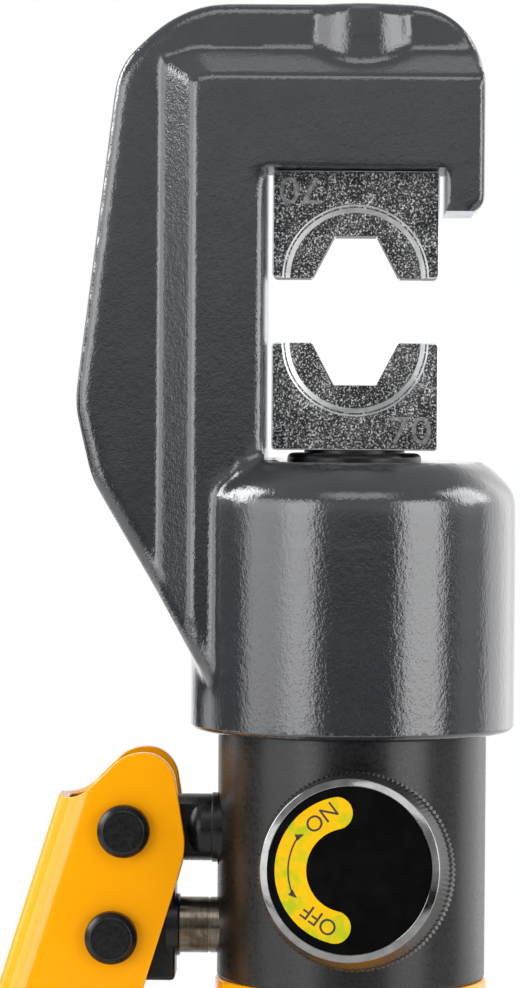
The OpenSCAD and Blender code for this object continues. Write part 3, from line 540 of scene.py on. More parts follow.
# head: the CAD forging softened all over, more at its outer edges, then its machined faces cut again
headSetup = {
    "voxel": 0.0006, "passes": 4,
    "fills": [((-18.0, -15.5, 280.0), (18.0, 15.5, 281.5)), ((14.8, -15.5, 265.0), (20.0, 15.5, 274.0)),
              ((15.6, -15.5, 272.0), (18.0, 15.5, 281.5)), ((-18.0, -15.5, 228.5), (-15.6, 15.5, 281.5))],
    "web": [(-24.7, -15.3), (-21.5, -19.4), (-19.0, -14.0)], "webLow": 184.0, "webHigh": 221.0,
    "footFill": [(0, 176, 0), (29, 176, 0), (29, 184, 0), (0, 184, 0)],
    "facet": {"point": (-29.93, 10.0, 301.5), "facing": (-0.2, 0.722, 0.6625),
              "right": -15.0, "low": 285.0, "lift": 0.35},
    "crown": {"x": 8.75, "z": 296.2, "radius": 13.8, "top": 309.98},
    "rim": {"depth": (6.0, 10.3), "steep": 0.5, "rings": 6, "passes": 26},
    "fin": {"facing": (-0.885, 0.0, -0.466), "match": 0.6, "depth": (6.0, 16.0), "top": 236.0},
    "spots": [
        {"x": (-19.4, -13.4), "y": (11.8, 16.0), "z": (228.0, 281.0), "passes": 40},
        {"x": (-27.5, -19.0), "y": (12.0, 21.0), "z": (184.0, 228.0), "passes": 10},
        {"x": (-36.5, -25.5), "y": (8.8, 16.0), "z": (294.0, 304.5), "passes": 8},
        {"x": (-17.0, 19.0), "y": (8.8, 14.5), "z": (296.0, 304.5), "passes": 16},
    ],
    "shoulder": {"r": (23.0, 30.0), "z": (214.0, 230.0), "left": -21.0, "passes": 36},
    "throat": ((-15.8, -25.0, 229.3), (15.8, 25.0, 280.75)),
    "lip": ((15.3, -25.0, 255.0), (30.0, 25.0, 273.15)),
    "foot": [(0, 170, 0), (40, 170, 0), (40, 182.4, 0), (29.1, 182.4, 0), (28.95, 181.8, 0), (28.6, 181.3, 0),
             (28.0, 181, 0), (0, 181, 0)],
    "bore": [(0, 170, 0), (20.1, 170, 0), (20.1, 197, 0), (18.2, 197, 0), (18.2, 221.2, 0),
             (12.2, 221.2, 0), (12.2, 233, 0), (0, 233, 0)],
    "lock": [(0, 279, 0), (2.5, 279, 0), (2.5, 281.1, 0), (3.05, 281.1, 0), (3.05, 300, 0),
             (4.1, 300, 0), (4.1, 313, 0), (0, 313, 0)],
    "thin": 0.1, "sharp": 40.0,
}


def within(value, limits):
    return limits[0] < value < limits[1]


def softenVerts(bm, verts, passes):
    for step in range(passes):
        bmesh.ops.smooth_vert(bm, verts=verts, factor=0.5, use_axis_x=True, use_axis_y=True, use_axis_z=True)


def addTo(bm, other):
    bmesh.ops.scale(other, vec=(mm, mm, mm), verts=other.verts)
    mesh = bpy.data.meshes.new("added")
    other.to_mesh(mesh)
    other.free()
    bm.from_mesh(mesh)
    bpy.data.meshes.remove(mesh)


# stock for the machined faces to be cut from, and a web beside the collar
def fillHead(bm, setup):
    for low, high in setup["fills"]:
        addTo(bm, block(low, high))
    for side in (1, -1):
        web = bmesh.new()
        web.faces.new([web.verts.new((x, y * side, setup["webLow"])) for x, y in setup["web"]])
        addTo(bm, extruded(web, (0, 0, setup["webHigh"] - setup["webLow"])))
    addTo(bm, turned(setup["footFill"]))


# the corner between the side slope and the bridge slope is planed off
def planeFacets(bm, facet):
    for side in (-1, 1):
        mirrored = Vector((1, side, 1))
        facing = Vector(facet["facing"]) * mirrored
        point = Vector(facet["point"]) * mirrored * mm
        for v in bm.verts:
            above = (v.co - point).dot(facing)
            lifted = (v.co.y - point.y) * side > facet["lift"] * mm
            if above > 0 and lifted and v.co.x / mm < facet["right"] and v.co.z / mm > facet["low"]:
                v.co -= facing * above


# the bridge's free corner is worn rounder
def wearCrown(bm, crown):
    for v in bm.verts:
        reach = Vector((v.co.x / mm - crown["x"], 0, v.co.z / mm - crown["z"]))
        if min(reach.x, reach.z) > 0 and reach.length > crown["radius"]:
            v.co -= reach * mm * (1 - crown["radius"] / reach.length)
        v.co.z = min(v.co.z, crown["top"] * mm)


def softenRim(bm, rim, fin):
    bm.normal_update()
    finFacing = Vector(fin["facing"])
    soft = set()
    for v in bm.verts:
        depth = abs(v.co.y) / mm
        onRim = abs(v.normal.y) < rim["steep"] and within(depth, rim["depth"])
        onFin = v.normal.dot(finFacing) > fin["match"] and within(depth, fin["depth"])
        if onRim or (onFin and v.co.z / mm < fin["top"]):
            soft.add(v)
    for ring in range(rim["rings"]):
        beside = {e.other_vert(v) for v in soft for e in v.link_edges}
        soft |= {v for v in beside if abs(v.co.y) / mm > rim["depth"][0]}
    softenVerts(bm, list(soft), rim["passes"])


def softenSpots(bm, spots, shoulder):
    for spot in spots:
        inside = [v for v in bm.verts if within(v.co.x / mm, spot["x"])
                  and within(abs(v.co.y) / mm, spot["y"]) and within(v.co.z / mm, spot["z"])]
        softenVerts(bm, inside, spot["passes"])
    inside = [v for v in bm.verts if within(v.co.xy.length / mm, shoulder["r"])
              and within(v.co.z / mm, shoulder["z"]) and v.co.x / mm > shoulder["left"]]
    softenVerts(bm, inside, shoulder["passes"])


def makeHead(setup):
    bm = bmesh.new()
    bm.from_mesh(nodes["head_frame"].data)
    bmesh.ops.remove_doubles(bm, verts=bm.verts, dist=1e-6)
    fillHead(bm, setup)
    head = linkMesh(bm, "forgedHead", [headPaint], scale=1.0)
    skin = head.modifiers.new("skin", "REMESH")
    skin.mode = "VOXEL"
    skin.voxel_size = setup["voxel"]
    bakeModifiers(head)
    bm = bmesh.new()
    bm.from_mesh(head.data)
    softenVerts(bm, bm.verts[:], setup["passes"])
    planeFacets(bm, setup["facet"])
    wearCrown(bm, setup["crown"])
    softenRim(bm, setup["rim"], setup["fin"])
    softenSpots(bm, setup["spots"], setup["shoulder"])
    for face in bm.faces:
        face.material_index = 0
    bm.to_mesh(head.data)
    bm.free()
    throat = linkMesh(block(*setup["throat"]), "throatCut", [bareSteel, blackOxide])
    # the cut's top face, the seat's ceiling over the upper die, takes black oxide: painted shade for the dark gap
    # above the die
    for face in throat.data.polygons:
        face.material_index = 1 if face.normal.z > squareOn else 0
    carve(head, [
        throat,
        linkMesh(block(*setup["lip"]), "lipCut", [bareSteel]),
        linkMesh(turned(setup["foot"], steps=160), "footCut", [headPaint]),
        linkMesh(turned(setup["bore"]), "boreCut", [bareSteel]),
        linkMesh(turned(setup["lock"], steps=48), "lockCut", [bareSteel]),
    ])
    thin = head.modifiers.new("thin", "DECIMATE")
    thin.decimate_type = "DISSOLVE"
    thin.angle_limit = math.radians(setup["thin"])
    thin.delimit = {"MATERIAL"}
    bakeModifiers(head)
    return finishPiece(head, "frame", ["head_frame"], setup["sharp"])


head = makeHead(headSetup)
print("head triangles:", sum(len(p.vertices) - 2 for p in head.data.polygons))


# dies: split block with half a hexagon, a bevelled ring sunk round it and a stamped figure
dieSetup = {
    "half": 14.75, "height": 19.0, "depth": 16.0, "mouth": 7.74, "flat": 3.8, "hexDepth": 7.5, "corner": 0.7,
    "edge": 0.2, "ringIn": 11.6, "ringSteps": [(12.4, 0.85), (12.7, 0.9), (13.0, 1.2)], "ringSink": 1.2,
    "ringOut": 4.0, "figure": "70", "figureSize": (7.2, 4.8), "figureAt": (9.95, -15.4), "figureSink": 0.22,
    "figureOut": 2.0, "sharp": 25.0,
}


def makeRingCutters(setup, place):
    steps = [(radius, height, 0) for radius, height in setup["ringSteps"]]
    rows = [(0, 0, 0), (setup["ringIn"], 0, 0), *steps, (steps[-1][0], setup["ringOut"], 0),
            (0, setup["ringOut"], 0)]
    inwards = shift(0, -setup["depth"] / 2 + setup["ringSink"], 0) @ turnBy(90, "X")
    cutters = []
    for side in (0, 180):
        cutter = linkMesh(placed(turned(rows, steps=120), place @ turnBy(side, "Z") @ inwards), "ringCut",
                          [dieRing, dieSteel])
        for face in cutter.data.polygons:
            face.material_index = 1 if abs(face.normal.y) > squareOn else 0
        cutters.append(cutter)
    return cutters


def makeStampCutter(setup, place):
    wide, tall = setup["figureSize"]
    stamp = flatWord(setup["figure"], tall)
    bmesh.ops.scale(stamp, vec=(wide / 2 / max(v.co.x for v in stamp.verts), 1, 1), verts=stamp.verts)
    extruded(stamp, (0, 0, setup["figureOut"]))
    x, z = setup["figureAt"]
    placed(stamp, place @ shift(x, -setup["depth"] / 2 + setup["figureSink"], z) @ turnBy(90, "X"))
    return linkMesh(stamp, "stampCut", [dieMark])


def makeDie(name, setup, place, body, node):
    half, depth, height = setup["half"], setup["depth"], setup["height"]
    mouth, flat, deep = setup["mouth"], setup["flat"], setup["hexDepth"]
    outline = [(-half, 0), (-mouth, 0), (-flat, -deep), (flat, -deep), (mouth, 0), (half, 0), (half, -height),
               (-half, -height)]
    bm = bmesh.new()
    bm.faces.new([bm.verts.new((x, -depth / 2, z)) for x, z in outline])
    extruded(bm, (0, depth, 0))
    corners = [e for e in edgesThrough(bm) if all(abs(v.co.x) > (mouth + half) / 2 for v in e.verts)]
    breakEdges(bm, corners, setup["corner"], segments=4)
    for face in breakEdges(bm, sharpEdges(bm), setup["edge"], segments=2):
        face.material_index = 1
    die = linkMesh(placed(bm, place), name, [dieSteel, dieRing])
    carve(die, [*makeRingCutters(setup, place), makeStampCutter(setup, place)])
    return finishPiece(die, body, [node], setup["sharp"])


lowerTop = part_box("lower_die")[1][2] / mm
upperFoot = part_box("upper_die")[0][2] / mm
makeDie("lowerDie", dieSetup, shift(0, 0, lowerTop), "ram", "lower_die")
makeDie("upperDie", dieSetup, shift(0, 0, upperFoot) @ turnBy(180, "Y"), "frame", "upper_die")
print("dies made")

# ram: hollow rod and piston, its top edge rounded under the die
ramSetup = {
    "rows": [(0, 224.1, 0), (8, 224.1, 0), (8, 198, 0.3), (18, 198, 0.5), (18, 207, 0.5), (12, 207, 0),
             (12, 230.4, 1.0), (9, 230.4, 0), (9, 231, 0.15), (0, 231, 0)],
}
ramRod = linkMesh(turned(ramSetup["rows"]), "ramRod", [blackOxide])
finishPiece(ramRod, "ram", ["ram"])

# pump body: satin cylinder, bored for the plunger, the lug, the relief screw and the release valve
bodySetup = {
    "rows": [(0, 108, 0), (10, 108, 0.4), (10, 122, 0), (21.65, 122, 1.0), (21.65, 136.5, 0),
             (24, 136.5, 0.6), (24, 181, 0.6), (20, 181, 0), (20, 197, 1.0), (0, 197, 0)],
    # name, axis, radius, start, end, place, finish
    "bores": [("plungerCut", "x", 5.12, -30.0, 3.5, shift(0, 0, plungerHeight), blackOxide),
              ("lugCut", "x", 7.1, -30.0, -22.757, shift(0, 0, pivotAt.z), bareSteel),
              ("reliefCut", "y", 4.05, 5.0, 30.0, shift(-6.0, 0, 173.0), blackOxide),
              ("valveCut", "z", 5.1, -31.0, 0.0, valveFrame, blackOxide)],
}


def makeBody(setup):
    body = linkMesh(turned(setup["rows"], steps=128), "pumpBody", [bodyBlack])
    carve(body, [linkMesh(placed(rodAlong(axis, radius, start, end), place), name, [finish])
                 for name, axis, radius, start, end, place, finish in setup["bores"]])
    return finishPiece(body, "frame", ["pump_body"])


makeBody(bodySetup)

# reservoir tube: swaged down under the grip
tubeSetup = {
    "rows": [(17.4, 3, 0), (20, 3, 0.4), (20, 106.5, 3.0), (24.3, 118.5, 3.0), (24.3, 136.5, 0.7),
             (21.7, 136.5, 0), (21.7, 118.5, 0), (17.4, 106.5, 0), (17.4, 3, 0)],
}
tube = linkMesh(turned(tubeSetup["rows"], steps=128, segments=6), "swagedTube", [amberPaint])
finishPiece(tube, "frame", ["reservoir_tube"])
print("ram, body and tube made")

# pivot lug: turned rod with a shoulder ring and a domed end, and a flat tongue standing out of the dome
lugSetup = {
    "rows": [(0, 11.8, 0), (4, 11.8, 0.4), (4, 22.757, 0), (7, 22.757, 0), (7, 23.9, 0), (6.25, 23.9, 0),
             (6.25, 25.0, 0.2), (6, 25.0, 0), (6, 26.6, 0)],
    "dome": 3.76, "radius": 6.0, "root": 5.99, "lap": 1.0, "nose": 5.9, "arc": range(10, 91, 10),
    "flatCut": ((-60.0, 4.0, 150.0), (0.0, 12.0, 176.0)), "sharp": 40.0,
}


def makeLug(setup):
    outward = shift(0, 0, pivotAt.z) @ turnBy(-90, "Y")
    end, start = setup["rows"][-1][:2]
    rise = [(math.cos(math.radians(angle)), math.sin(math.radians(angle))) for angle in setup["arc"]]
    dome = [(end * c, start + setup["dome"] * s, 0) for c, s in rise]
    lug = linkMesh(placed(turned(setup["rows"] + dome), outward), "pivotLug", [blackOxide])
    finishPiece(lug, "frame", ["pivot_lug"], setup["sharp"])
    radius, foot, centre = setup["radius"], start - setup["lap"], -pivotAt.x
    rod = [(0, foot, 0), (setup["root"], foot, 0), (radius, centre, 0)]
    nose = [(radius * c, centre + setup["nose"] * s, 0) for c, s in rise]
    tongue = linkMesh(placed(turned(rod + nose), outward), "pivotTongue", [blackOxide])
    cutters = []
    for side in (-1, 1):
        bm = placed(block(*setup["flatCut"]), Matrix.Diagonal((1, side, 1, 1)))
        bmesh.ops.recalc_face_normals(bm, faces=bm.faces)
        cutters.append(linkMesh(bm, "flatCut", [blackOxide]))
    carve(tongue, cutters)
    return finishPiece(tongue, "frame", ["pivot_lug"], setup["sharp"])


makeLug(lugSetup)

# plunger: stained rod with one scored line, and the slotted block that the link pin works in
plungerSetup = {
    "rows": [(0, 2, 0), (5, 2, 0.6), (5, 25.2, 0), (4.86, 25.25, 0), (4.86, 25.55, 0), (5, 25.6, 0),
             (5, 32.4, 0), (0, 32.4, 0)],
    "boss": [(4.9, 30.6, 0), (5.5, 30.6, 0.4), (5.9, 33.0, 0), (4.9, 33.0, 0), (4.9, 30.6, 0)],
    "block": ((-50.3, -4.5, 135.8), (-31.4, 4.5, 155.1)), "edge": 0.8,
    "slot": ((-46.1, -9, 140.59), (-39.1, 9, 152.7)), "slotEdge": 2.99,
}


def makePlunger(setup):
    outward = shift(0, 0, plungerHeight) @ turnBy(-90, "Y")
    rod = linkMesh(placed(turned(setup["rows"]), outward), "plungerRod", [plungerSteel])
    bm = block(*setup["block"])
    breakEdges(bm, list(bm.edges), setup["edge"])
    slider = linkMesh(bm, "plungerBlock", [blackOxide])
    bm = block(*setup["slot"])
    breakEdges(bm, edgesThrough(bm), setup["slotEdge"], segments=8)
    carve(slider, [linkMesh(bm, "slotCut", [blackOxide])])
    finishPiece(slider, "plunger", ["plunger"])
    boss = linkMesh(placed(turned(setup["boss"]), outward), "plungerBoss", [blackOxide])
    finishPiece(boss, "plunger", ["plunger"])
    return finishPiece(rod, "plunger", ["plunger"])


makePlunger(plungerSetup)
print("lug and plunger made")

# lever: sheet bent to a channel, with rounded ears and edges softened by the paint
yokeSetup = {
    "outline": [(-7.2, 7.07, 0), (-3.1, 14.6, 4.0), (4.4, 14.6, 3.4), (11.5, 0.4, 2.4), (11.8, -8, 1.2),
                (11.8, -150, 0), (-7.2, -150, 0)],
    "half": 8.0, "bend": 6.0, "back": -13.2, "spineTop": 2.3, "fall": 2.57, "sheet": 2.0, "edge": 0.25,
    "merge": 0.001, "edgeAngle": 50.0, "sharp": 30.0,
}


def makeYoke(setup):
    half, bend, merge = setup["half"], setup["bend"], setup["merge"]
    bm = bmesh.new()
    spots = [bm.verts.new((u, -half, v)) for u, v, rounding in setup["outline"]]
    bm.faces.new(spots)
    for spot, (u, v, rounding) in zip(spots, setup["outline"]):
        if rounding:
            roundCorners(bm, [spot], rounding, segments=8)
    bendFrom = setup["back"] + bend
    rear = [e for e in bm.edges if all(abs(v.co.x - bendFrom) < merge for v in e.verts)]
    ends = list({v for e in rear for v in e.verts})
    bent = bmesh.ops.spin(bm, geom=rear + ends, cent=(bendFrom, -half + bend, 0), axis=(0, 0, 1),
                          dvec=(0, 0, 0), angle=math.radians(-90), steps=14, use_merge=False)["geom_last"]
    edge = [g for g in bent if isinstance(g, bmesh.types.BMEdge)]
    grown = bmesh.ops.extrude_edge_only(bm, edges=edge)["geom"]
    bmesh.ops.translate(bm, vec=(0, half - bend, 0), verts=vertsIn(grown))
    bmesh.ops.remove_doubles(bm, verts=bm.verts, dist=merge)
    for v in bm.verts:  # the spine's top edge falls away round the bend
        if v.co.z > 0 and v.co.x < bendFrom - merge:
            part = max(v.co.x - setup["back"], 0.0) / bend
            v.co.z = setup["spineTop"] + (v.co.z - setup["spineTop"]) * part ** setup["fall"]
    bmesh.ops.mirror(bm, geom=list(bm.verts) + list(bm.edges) + list(bm.faces), matrix=Matrix.Identity(4),
                     merge_dist=merge, axis="Y")
    bmesh.ops.remove_doubles(bm, verts=bm.verts, dist=merge)
    bmesh.ops.recalc_face_normals(bm, faces=bm.faces)
    outer = min(bm.faces, key=lambda f: f.calc_center_median().y)
    if outer.normal.y > 0:
        bmesh.ops.reverse_faces(bm, faces=bm.faces)
    bmesh.ops.solidify(bm, geom=list(bm.faces), thickness=setup["sheet"])
    breakEdges(bm, sharpEdges(bm, setup["edgeAngle"]), setup["edge"])
    yoke = linkMesh(placed(bm, leverFrame), "leverYoke", [amberPaint])
    return finishPiece(yoke, "lever", ["handle_yoke"], setup["sharp"])


makeYoke(yokeSetup)

# lever pins: domed black heads in front, grooved tails behind
pinSetup = {
    "rows": [(0, -10.6, 0), (3, -10.6, 0.45), (3, -9.3, 0), (2.3, -9.3, 0), (2.3, -8.2, 0), (3, -8.2, 0),
             (3, 8, 0), (4.7, 8, 0.15), (4.7, 10.05, 0.4), (3.72, 11, 0.22), (3.5, 11, 0), (3.45, 10.94, 0),
             (3.35, 10.94, 0), (3.3, 11, 0), (0, 11, 0)],
    # name, node and place beside and above the pivot
    "pins": [("pivotPin", "pivot_pin", 0.0, 0.0), ("linkPin", "link_pin", -2.1, -19.0)],
}
for name, node, beside, above in pinSetup["pins"]:
    forward = shift(pivotAt.x + beside, 0, pivotAt.z + above) @ turnBy(90, "X")
    pin = linkMesh(placed(turned(pinSetup["rows"], steps=72), forward), name, [blackOxide])
    finishPiece(pin, "lever", [node])
print("lever made")

# fixed grip: moulded rubber sleeve with round ribs
gripSetup = {
    "radius": 23.0, "neck": 20.05, "length": 92.0, "band": 9.0, "edge": 1.8, "floor": 3.0,
    "ribs": 9, "rib": 1.1, "ribShares": (0.12, 0.68, 0.8), "sharp": 50.0,
    # roundings of the ends, bands, ribs and the valleys between them
    "footSoft": 0.3, "headSoft": 0.4, "edgeSoft": 0.6, "bandSoft": 0.5, "ribSoft": 0.45, "valleySoft": 0.3,
}


def makeFixedGrip(setup):
    r, rib, length, band, edge = (setup[key] for key in ("radius", "rib", "length", "band", "edge"))
    neck, floor, valley, ridge = (setup[key] for key in ("neck", "floor", "valleySoft", "ribSoft"))
    bandSoft, edgeSoft = setup["bandSoft"], setup["edgeSoft"]
    start = band + 2 * rib
    pitch = (length - 2 * start) / setup["ribs"]
    rise, fall, end = (pitch * share for share in setup["ribShares"])
    rows = [(0, 0, 0), (r - edge, 0, setup["footSoft"]), (r, edge, edgeSoft), (r, band, bandSoft),
            (r - rib, band + rib, valley)]
    for i in range(setup["ribs"]):
        foot = start + pitch * i
        rows += [(r - rib, foot, valley), (r, foot + rise, ridge), (r, foot + fall, ridge),
                 (r - rib, foot + end, valley)]
    rows += [(r - rib, length - band - rib, valley), (r, length - band, bandSoft),
             (r, length - edge, edgeSoft), (r - edge, length, setup["headSoft"]),
             (neck, length, 0), (neck, floor, 0), (0, floor, 0)]
    grip = linkMesh(turned(rows, segments=3), "tubeGrip", [gripRubber])
    return finishPiece(grip, "frame", ["fixed_grip"], setup["sharp"])


makeFixedGrip(gripSetup)

# lever grip: the same rubber round the channel, drawn in at its ends and between its ribs
leverGripSetup = {
    "low": -157.0, "high": -69.0, "u": (-16.4, 15.0), "half": 11.2, "corner": 7.0, "band": 9.0,
    "ribs": 9, "rib": 1.1, "ribShares": (0.14, 0.73, 0.87), "ribGap": 0.02,
    # height from the end, and how far the side is drawn in there
    "foot": [(0.0, 1.4), (0.9, 0.3), (2.4, 0.0)], "head": [(1.0, 0.0), (0.0, 0.9)],
    "channel": ((-13.25, -8.05, -150.0), (11.85, 8.05, -60.0)),
    "round": 0.45, "edgeAngle": 25.0, "sharp": 50.0,
}


def makeLeverGrip(setup):
    low, high, half, band, rib = (setup[key] for key in ("low", "high", "half", "band", "rib"))
    u0, u1 = setup["u"]
    middle, halfU = (u0 + u1) / 2, (u1 - u0) / 2
    start = low + band + 2 * rib
    pitch = (high - low - 2 * (band + 2 * rib)) / setup["ribs"]
    rise, fall, end = (pitch * share for share in setup["ribShares"])
    levels = [(low + height, inset) for height, inset in setup["foot"]]
    levels += [(low + band, 0.0), (low + band + rib, rib)]
    for i in range(setup["ribs"]):
        foot = start + pitch * i
        levels += [(foot + setup["ribGap"], rib), (foot + rise, 0.0), (foot + fall, 0.0), (foot + end, rib)]
    levels += [(high - band - rib, rib), (high - band, 0.0)]
    levels += [(high - height, inset) for height, inset in setup["head"]]
    bm = bmesh.new()
    bmesh.ops.create_grid(bm, x_segments=1, y_segments=1, size=1.0)
    bmesh.ops.scale(bm, vec=(halfU, half, 1), verts=bm.verts)
    roundCorners(bm, list(bm.verts), setup["corner"], segments=10)
    base = [v.co.copy() for v in bm.verts]
    face = bm.faces[:][0]
    for index, (height, inset) in enumerate(levels):
        if index:
            grown = bmesh.ops.extrude_face_region(bm, geom=[face])
            face = [g for g in grown["geom"] if isinstance(g, bmesh.types.BMFace)][0]
        for v in face.verts:
            near = min(base, key=lambda c: ((c.x - v.co.x) / halfU) ** 2 + ((c.y - v.co.y) / half) ** 2)
            v.co = (near.x * (1 - inset / halfU), near.y * (1 - inset / half), height)
    bmesh.ops.recalc_face_normals(bm, faces=bm.faces)
    bmesh.ops.translate(bm, vec=(middle, 0, 0), verts=bm.verts)
    breakEdges(bm, sharpEdges(bm, setup["edgeAngle"]), setup["round"], segments=2)
    grip = linkMesh(placed(bm, leverFrame), "leverGrip", [gripRubber])
    carve(grip, [linkMesh(placed(block(*setup["channel"]), leverFrame), "channelCut", [gripRubber])])
    return finishPiece(grip, "lever", ["handle_grip"], setup["sharp"])


makeLeverGrip(leverGripSetup)
print("grips made")

# release knob: straight-knurled rim, dark cone, polished bezel, gloss plate with its label
knobSetup = {
    # from the hub's bore, round the knurled rim and over the bezel to the plate's seat
    "rows": [(4.05, -2.6, 0), (4.05, -9.6, 0), (7.0, -9.6, 0), (7.0, -8.4, 0), (16.4, -8.4, 0),
             (17.3, -7.6, 0), (17.3, -5.0, 0), (17.18, -4.78, 0), (16.94, -4.6, 0), (16.7, -4.0, 0),
             (15.8, -1.0, 0), (15.75, -0.46, 0.16), (14.52, -0.02, 0), (14.4, -0.14, 0), (14.4, -1.4, 0),
             (0, -1.4, 0)],
    "teeth": 120, "columns": 4, "knurl": 0.4, "knurlFrom": 16.8, "knurlLow": -7.7,
    "bezel": (14.4, 15.79), "bezelLow": -0.8, "sharp": 28.0,
}


def makeKnob(setup):
    bm = turned(setup["rows"], steps=setup["teeth"] * setup["columns"])
    for v in bm.verts:
        along = v.co.xy.length
        if along > setup["knurlFrom"] and v.co.z > setup["knurlLow"]:
            wave = math.cos(math.atan2(v.co.y, v.co.x) * setup["teeth"])
            v.co.xy = v.co.xy * ((along - setup["knurl"] * (0.5 - 0.5 * wave)) / along)
    for face in bm.faces:
        middle = face.calc_center_median()
        bright = within(middle.xy.length, setup["bezel"]) and middle.z > setup["bezelLow"]
        face.material_index = 1 if bright else 0
    knob = linkMesh(placed(bm, valveFrame), "knobRim", [knobBlack, knobBezel])
    return finishPiece(knob, "knob", ["release_knob"], setup["sharp"], even=False)


makeKnob(knobSetup)

# face plate of the knob
plateSetup = {"rows": [(0, -1.4, 0), (14.3, -1.4, 0), (14.3, -0.4, 0.12), (0, -0.4, 0)]}
plate = linkMesh(placed(turned(plateSetup["rows"], steps=128), valveFrame), "knobPlate", [plateGloss])
finishPiece(plate, "knob", ["knob_plate"])

# label: a round-ended arc of film, with an arrow and two words printed on it
labelSetup = {
    "spot": (-0.35, 0.0), "turn": 2.0,
    "middle": 9.95, "halfWidth": 2.77, "start": 100.4, "stop": 257.5, "base": -0.4, "film": 0.06, "ink": 0.02,
    # radius, half width, start and stop of the arrow's line; half width and length of its barbs; their tips
    "arrow": (10.35, 0.14, 146.0, 203.0), "barb": (0.62, 1.55), "tips": ((9.75, 140.6), (9.95, 208.2)),
    # word, height, radius, angle and turn
    "words": [("ON", 2.75, 10.05, 116.9, 37.5), ("OFF", 2.75, 9.85, 239.9, 143.5)],
    "sharp": 30.0,
}
labelFrame = valveFrame @ shift(*labelSetup["spot"], 0) @ turnBy(labelSetup["turn"], "Z")


def atAngle(angle, radius):
    return turnBy(angle, "Z") @ Vector((radius, 0, 0))


def finishLabel(bm, base, thick, name, material, sharp):
    bmesh.ops.translate(bm, vec=(0, 0, base), verts=bm.verts)
    extruded(bm, (0, 0, thick))
    piece = linkMesh(placed(bm, labelFrame), name, [material])
    finishPiece(piece, "knob", sharp=sharp, even=False)


def makeFilm(setup):
    middle, half = setup["middle"], setup["halfWidth"]
    bm = swept([(middle - half, 0, 0), (middle + half, 0, 0)], setup["start"], setup["stop"], steps=48)
    for angle, away in ((setup["start"], -1), (setup["stop"], 1)):
        cap = bmesh.ops.create_circle(bm, cap_ends=True, cap_tris=False, segments=40, radius=half)["verts"]
        spot = turnBy(angle, "Z") @ shift(middle, 0, 0)
        bmesh.ops.transform(bm, matrix=spot, verts=cap)
        edges = list({e for v in cap for e in v.link_edges})
        faces = list({f for v in cap for f in v.link_faces})
        along = spot.to_3x3() @ Vector((0, away, 0))
        bmesh.ops.bisect_plane(bm, geom=cap + edges + faces, plane_co=spot.translation, plane_no=-along,
                               clear_outer=True, dist=1e-5)
    bmesh.ops.remove_doubles(bm, verts=bm.verts, dist=0.001)
    bmesh.ops.recalc_face_normals(bm, faces=bm.faces)
    finishLabel(bm, setup["base"], setup["film"], "labelFilm", labelFilm, setup["sharp"])


def makePrint(setup):
    top = setup["base"] + setup["film"]
    radius, halfLine, start, stop = setup["arrow"]
    bm = swept([(radius - halfLine, 0, 0), (radius + halfLine, 0, 0)], start, stop, steps=24)
    wide, long = setup["barb"]
    for (tipRadius, tipAngle), root in zip(setup["tips"], (start, stop)):
        tip = atAngle(tipAngle, tipRadius)
        ahead = (tip - atAngle(root, radius)).normalized()
        aside = Vector((-ahead.y, ahead.x, 0))
        foot = tip - ahead * long
        bm.faces.new([bm.verts.new(p) for p in (tip, foot + aside * wide, foot - aside * wide)])
    bmesh.ops.recalc_face_normals(bm, faces=bm.faces)
    finishLabel(bm, top, setup["ink"], "labelArrow", labelInk, setup["sharp"])
    for word, height, wordRadius, angle, turn in setup["words"]:
        bm = placed(flatWord(word, height), shift(*atAngle(angle, wordRadius)) @ turnBy(turn, "Z"))
        finishLabel(bm, top, setup["ink"], "label" + word.capitalize(), labelInk, setup["sharp"])


makeFilm(labelSetup)
makePrint(labelSetup)
print("knob made")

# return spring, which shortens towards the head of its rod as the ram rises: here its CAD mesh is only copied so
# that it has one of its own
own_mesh(nodes["return_spring"])

# every CAD node that stays gets its slot's finish
kept = 0
for part in frame["record"]["subparts"]:
    piece = nodes[part["node"]]
    if piece.hide_render:
        continue
    finish = slotFinish[part["material_slot"]]
    if not piece.material_slots:
        piece.data.materials.append(finish)
    for slot in piece.material_slots:
        slot.material = finish
    kept += 1
print("CAD nodes finished:", kept)

# soft boxes round the tool
lampSetup = {
    "centre": (0.0, 0.0, 0.22),
    # name, azimuth, elevation, distance, width, height, radiance
    "boxes": [("leftBox", -38, 5, 0.95, 0.40, 0.56, 3.5), ("leftWing", -66, 5, 0.95, 0.53, 0.56, 2.1),
              ("rightBox", 49.5, 5, 0.95, 0.55, 0.56, 3.9), ("rightWing", 88, 5, 1.0, 0.43, 0.60, 0.55),
              ("rightBack", 128, 5, 1.2, 0.95, 1.2, 0.78), ("leftBack", -122, 5, 1.1, 0.35, 0.70, 1.0),
              ("leftHigh", -98, 28, 1.1, 0.58, 0.64, 8.5), ("rightHigh", 98, 28, 1.1, 0.60, 0.64, 4.5),
              ("frontHigh", 4, 44, 1.1, 0.80, 0.45, 1.8), ("topBox", 180, 81, 1.15, 0.30, 0.24, 0.65)],
}


def makeLamps(setup):
    centre = Vector(setup["centre"])
    for name, azimuth, elevation, far, wide, tall, radiance in setup["boxes"]:
        data = bpy.data.lights.new(name, "AREA")
        data.shape = "RECTANGLE"
        data.size = wide
        data.size_y = tall
        data.energy = radiance * math.pi * wide * tall
        lamp = bpy.data.objects.new(name, data)
        scene.collection.objects.link(lamp)
        turn, rise = math.radians(azimuth), math.radians(elevation)
        level = math.cos(rise)
        away = Vector((math.sin(turn) * level, -math.cos(turn) * level, math.sin(rise)))
        lamp.location = centre + far * away
        lamp.rotation_euler = (centre - lamp.location).to_track_quat("-Z", "Y").to_euler()
        lamp.visible_camera = False


makeLamps(lampSetup)

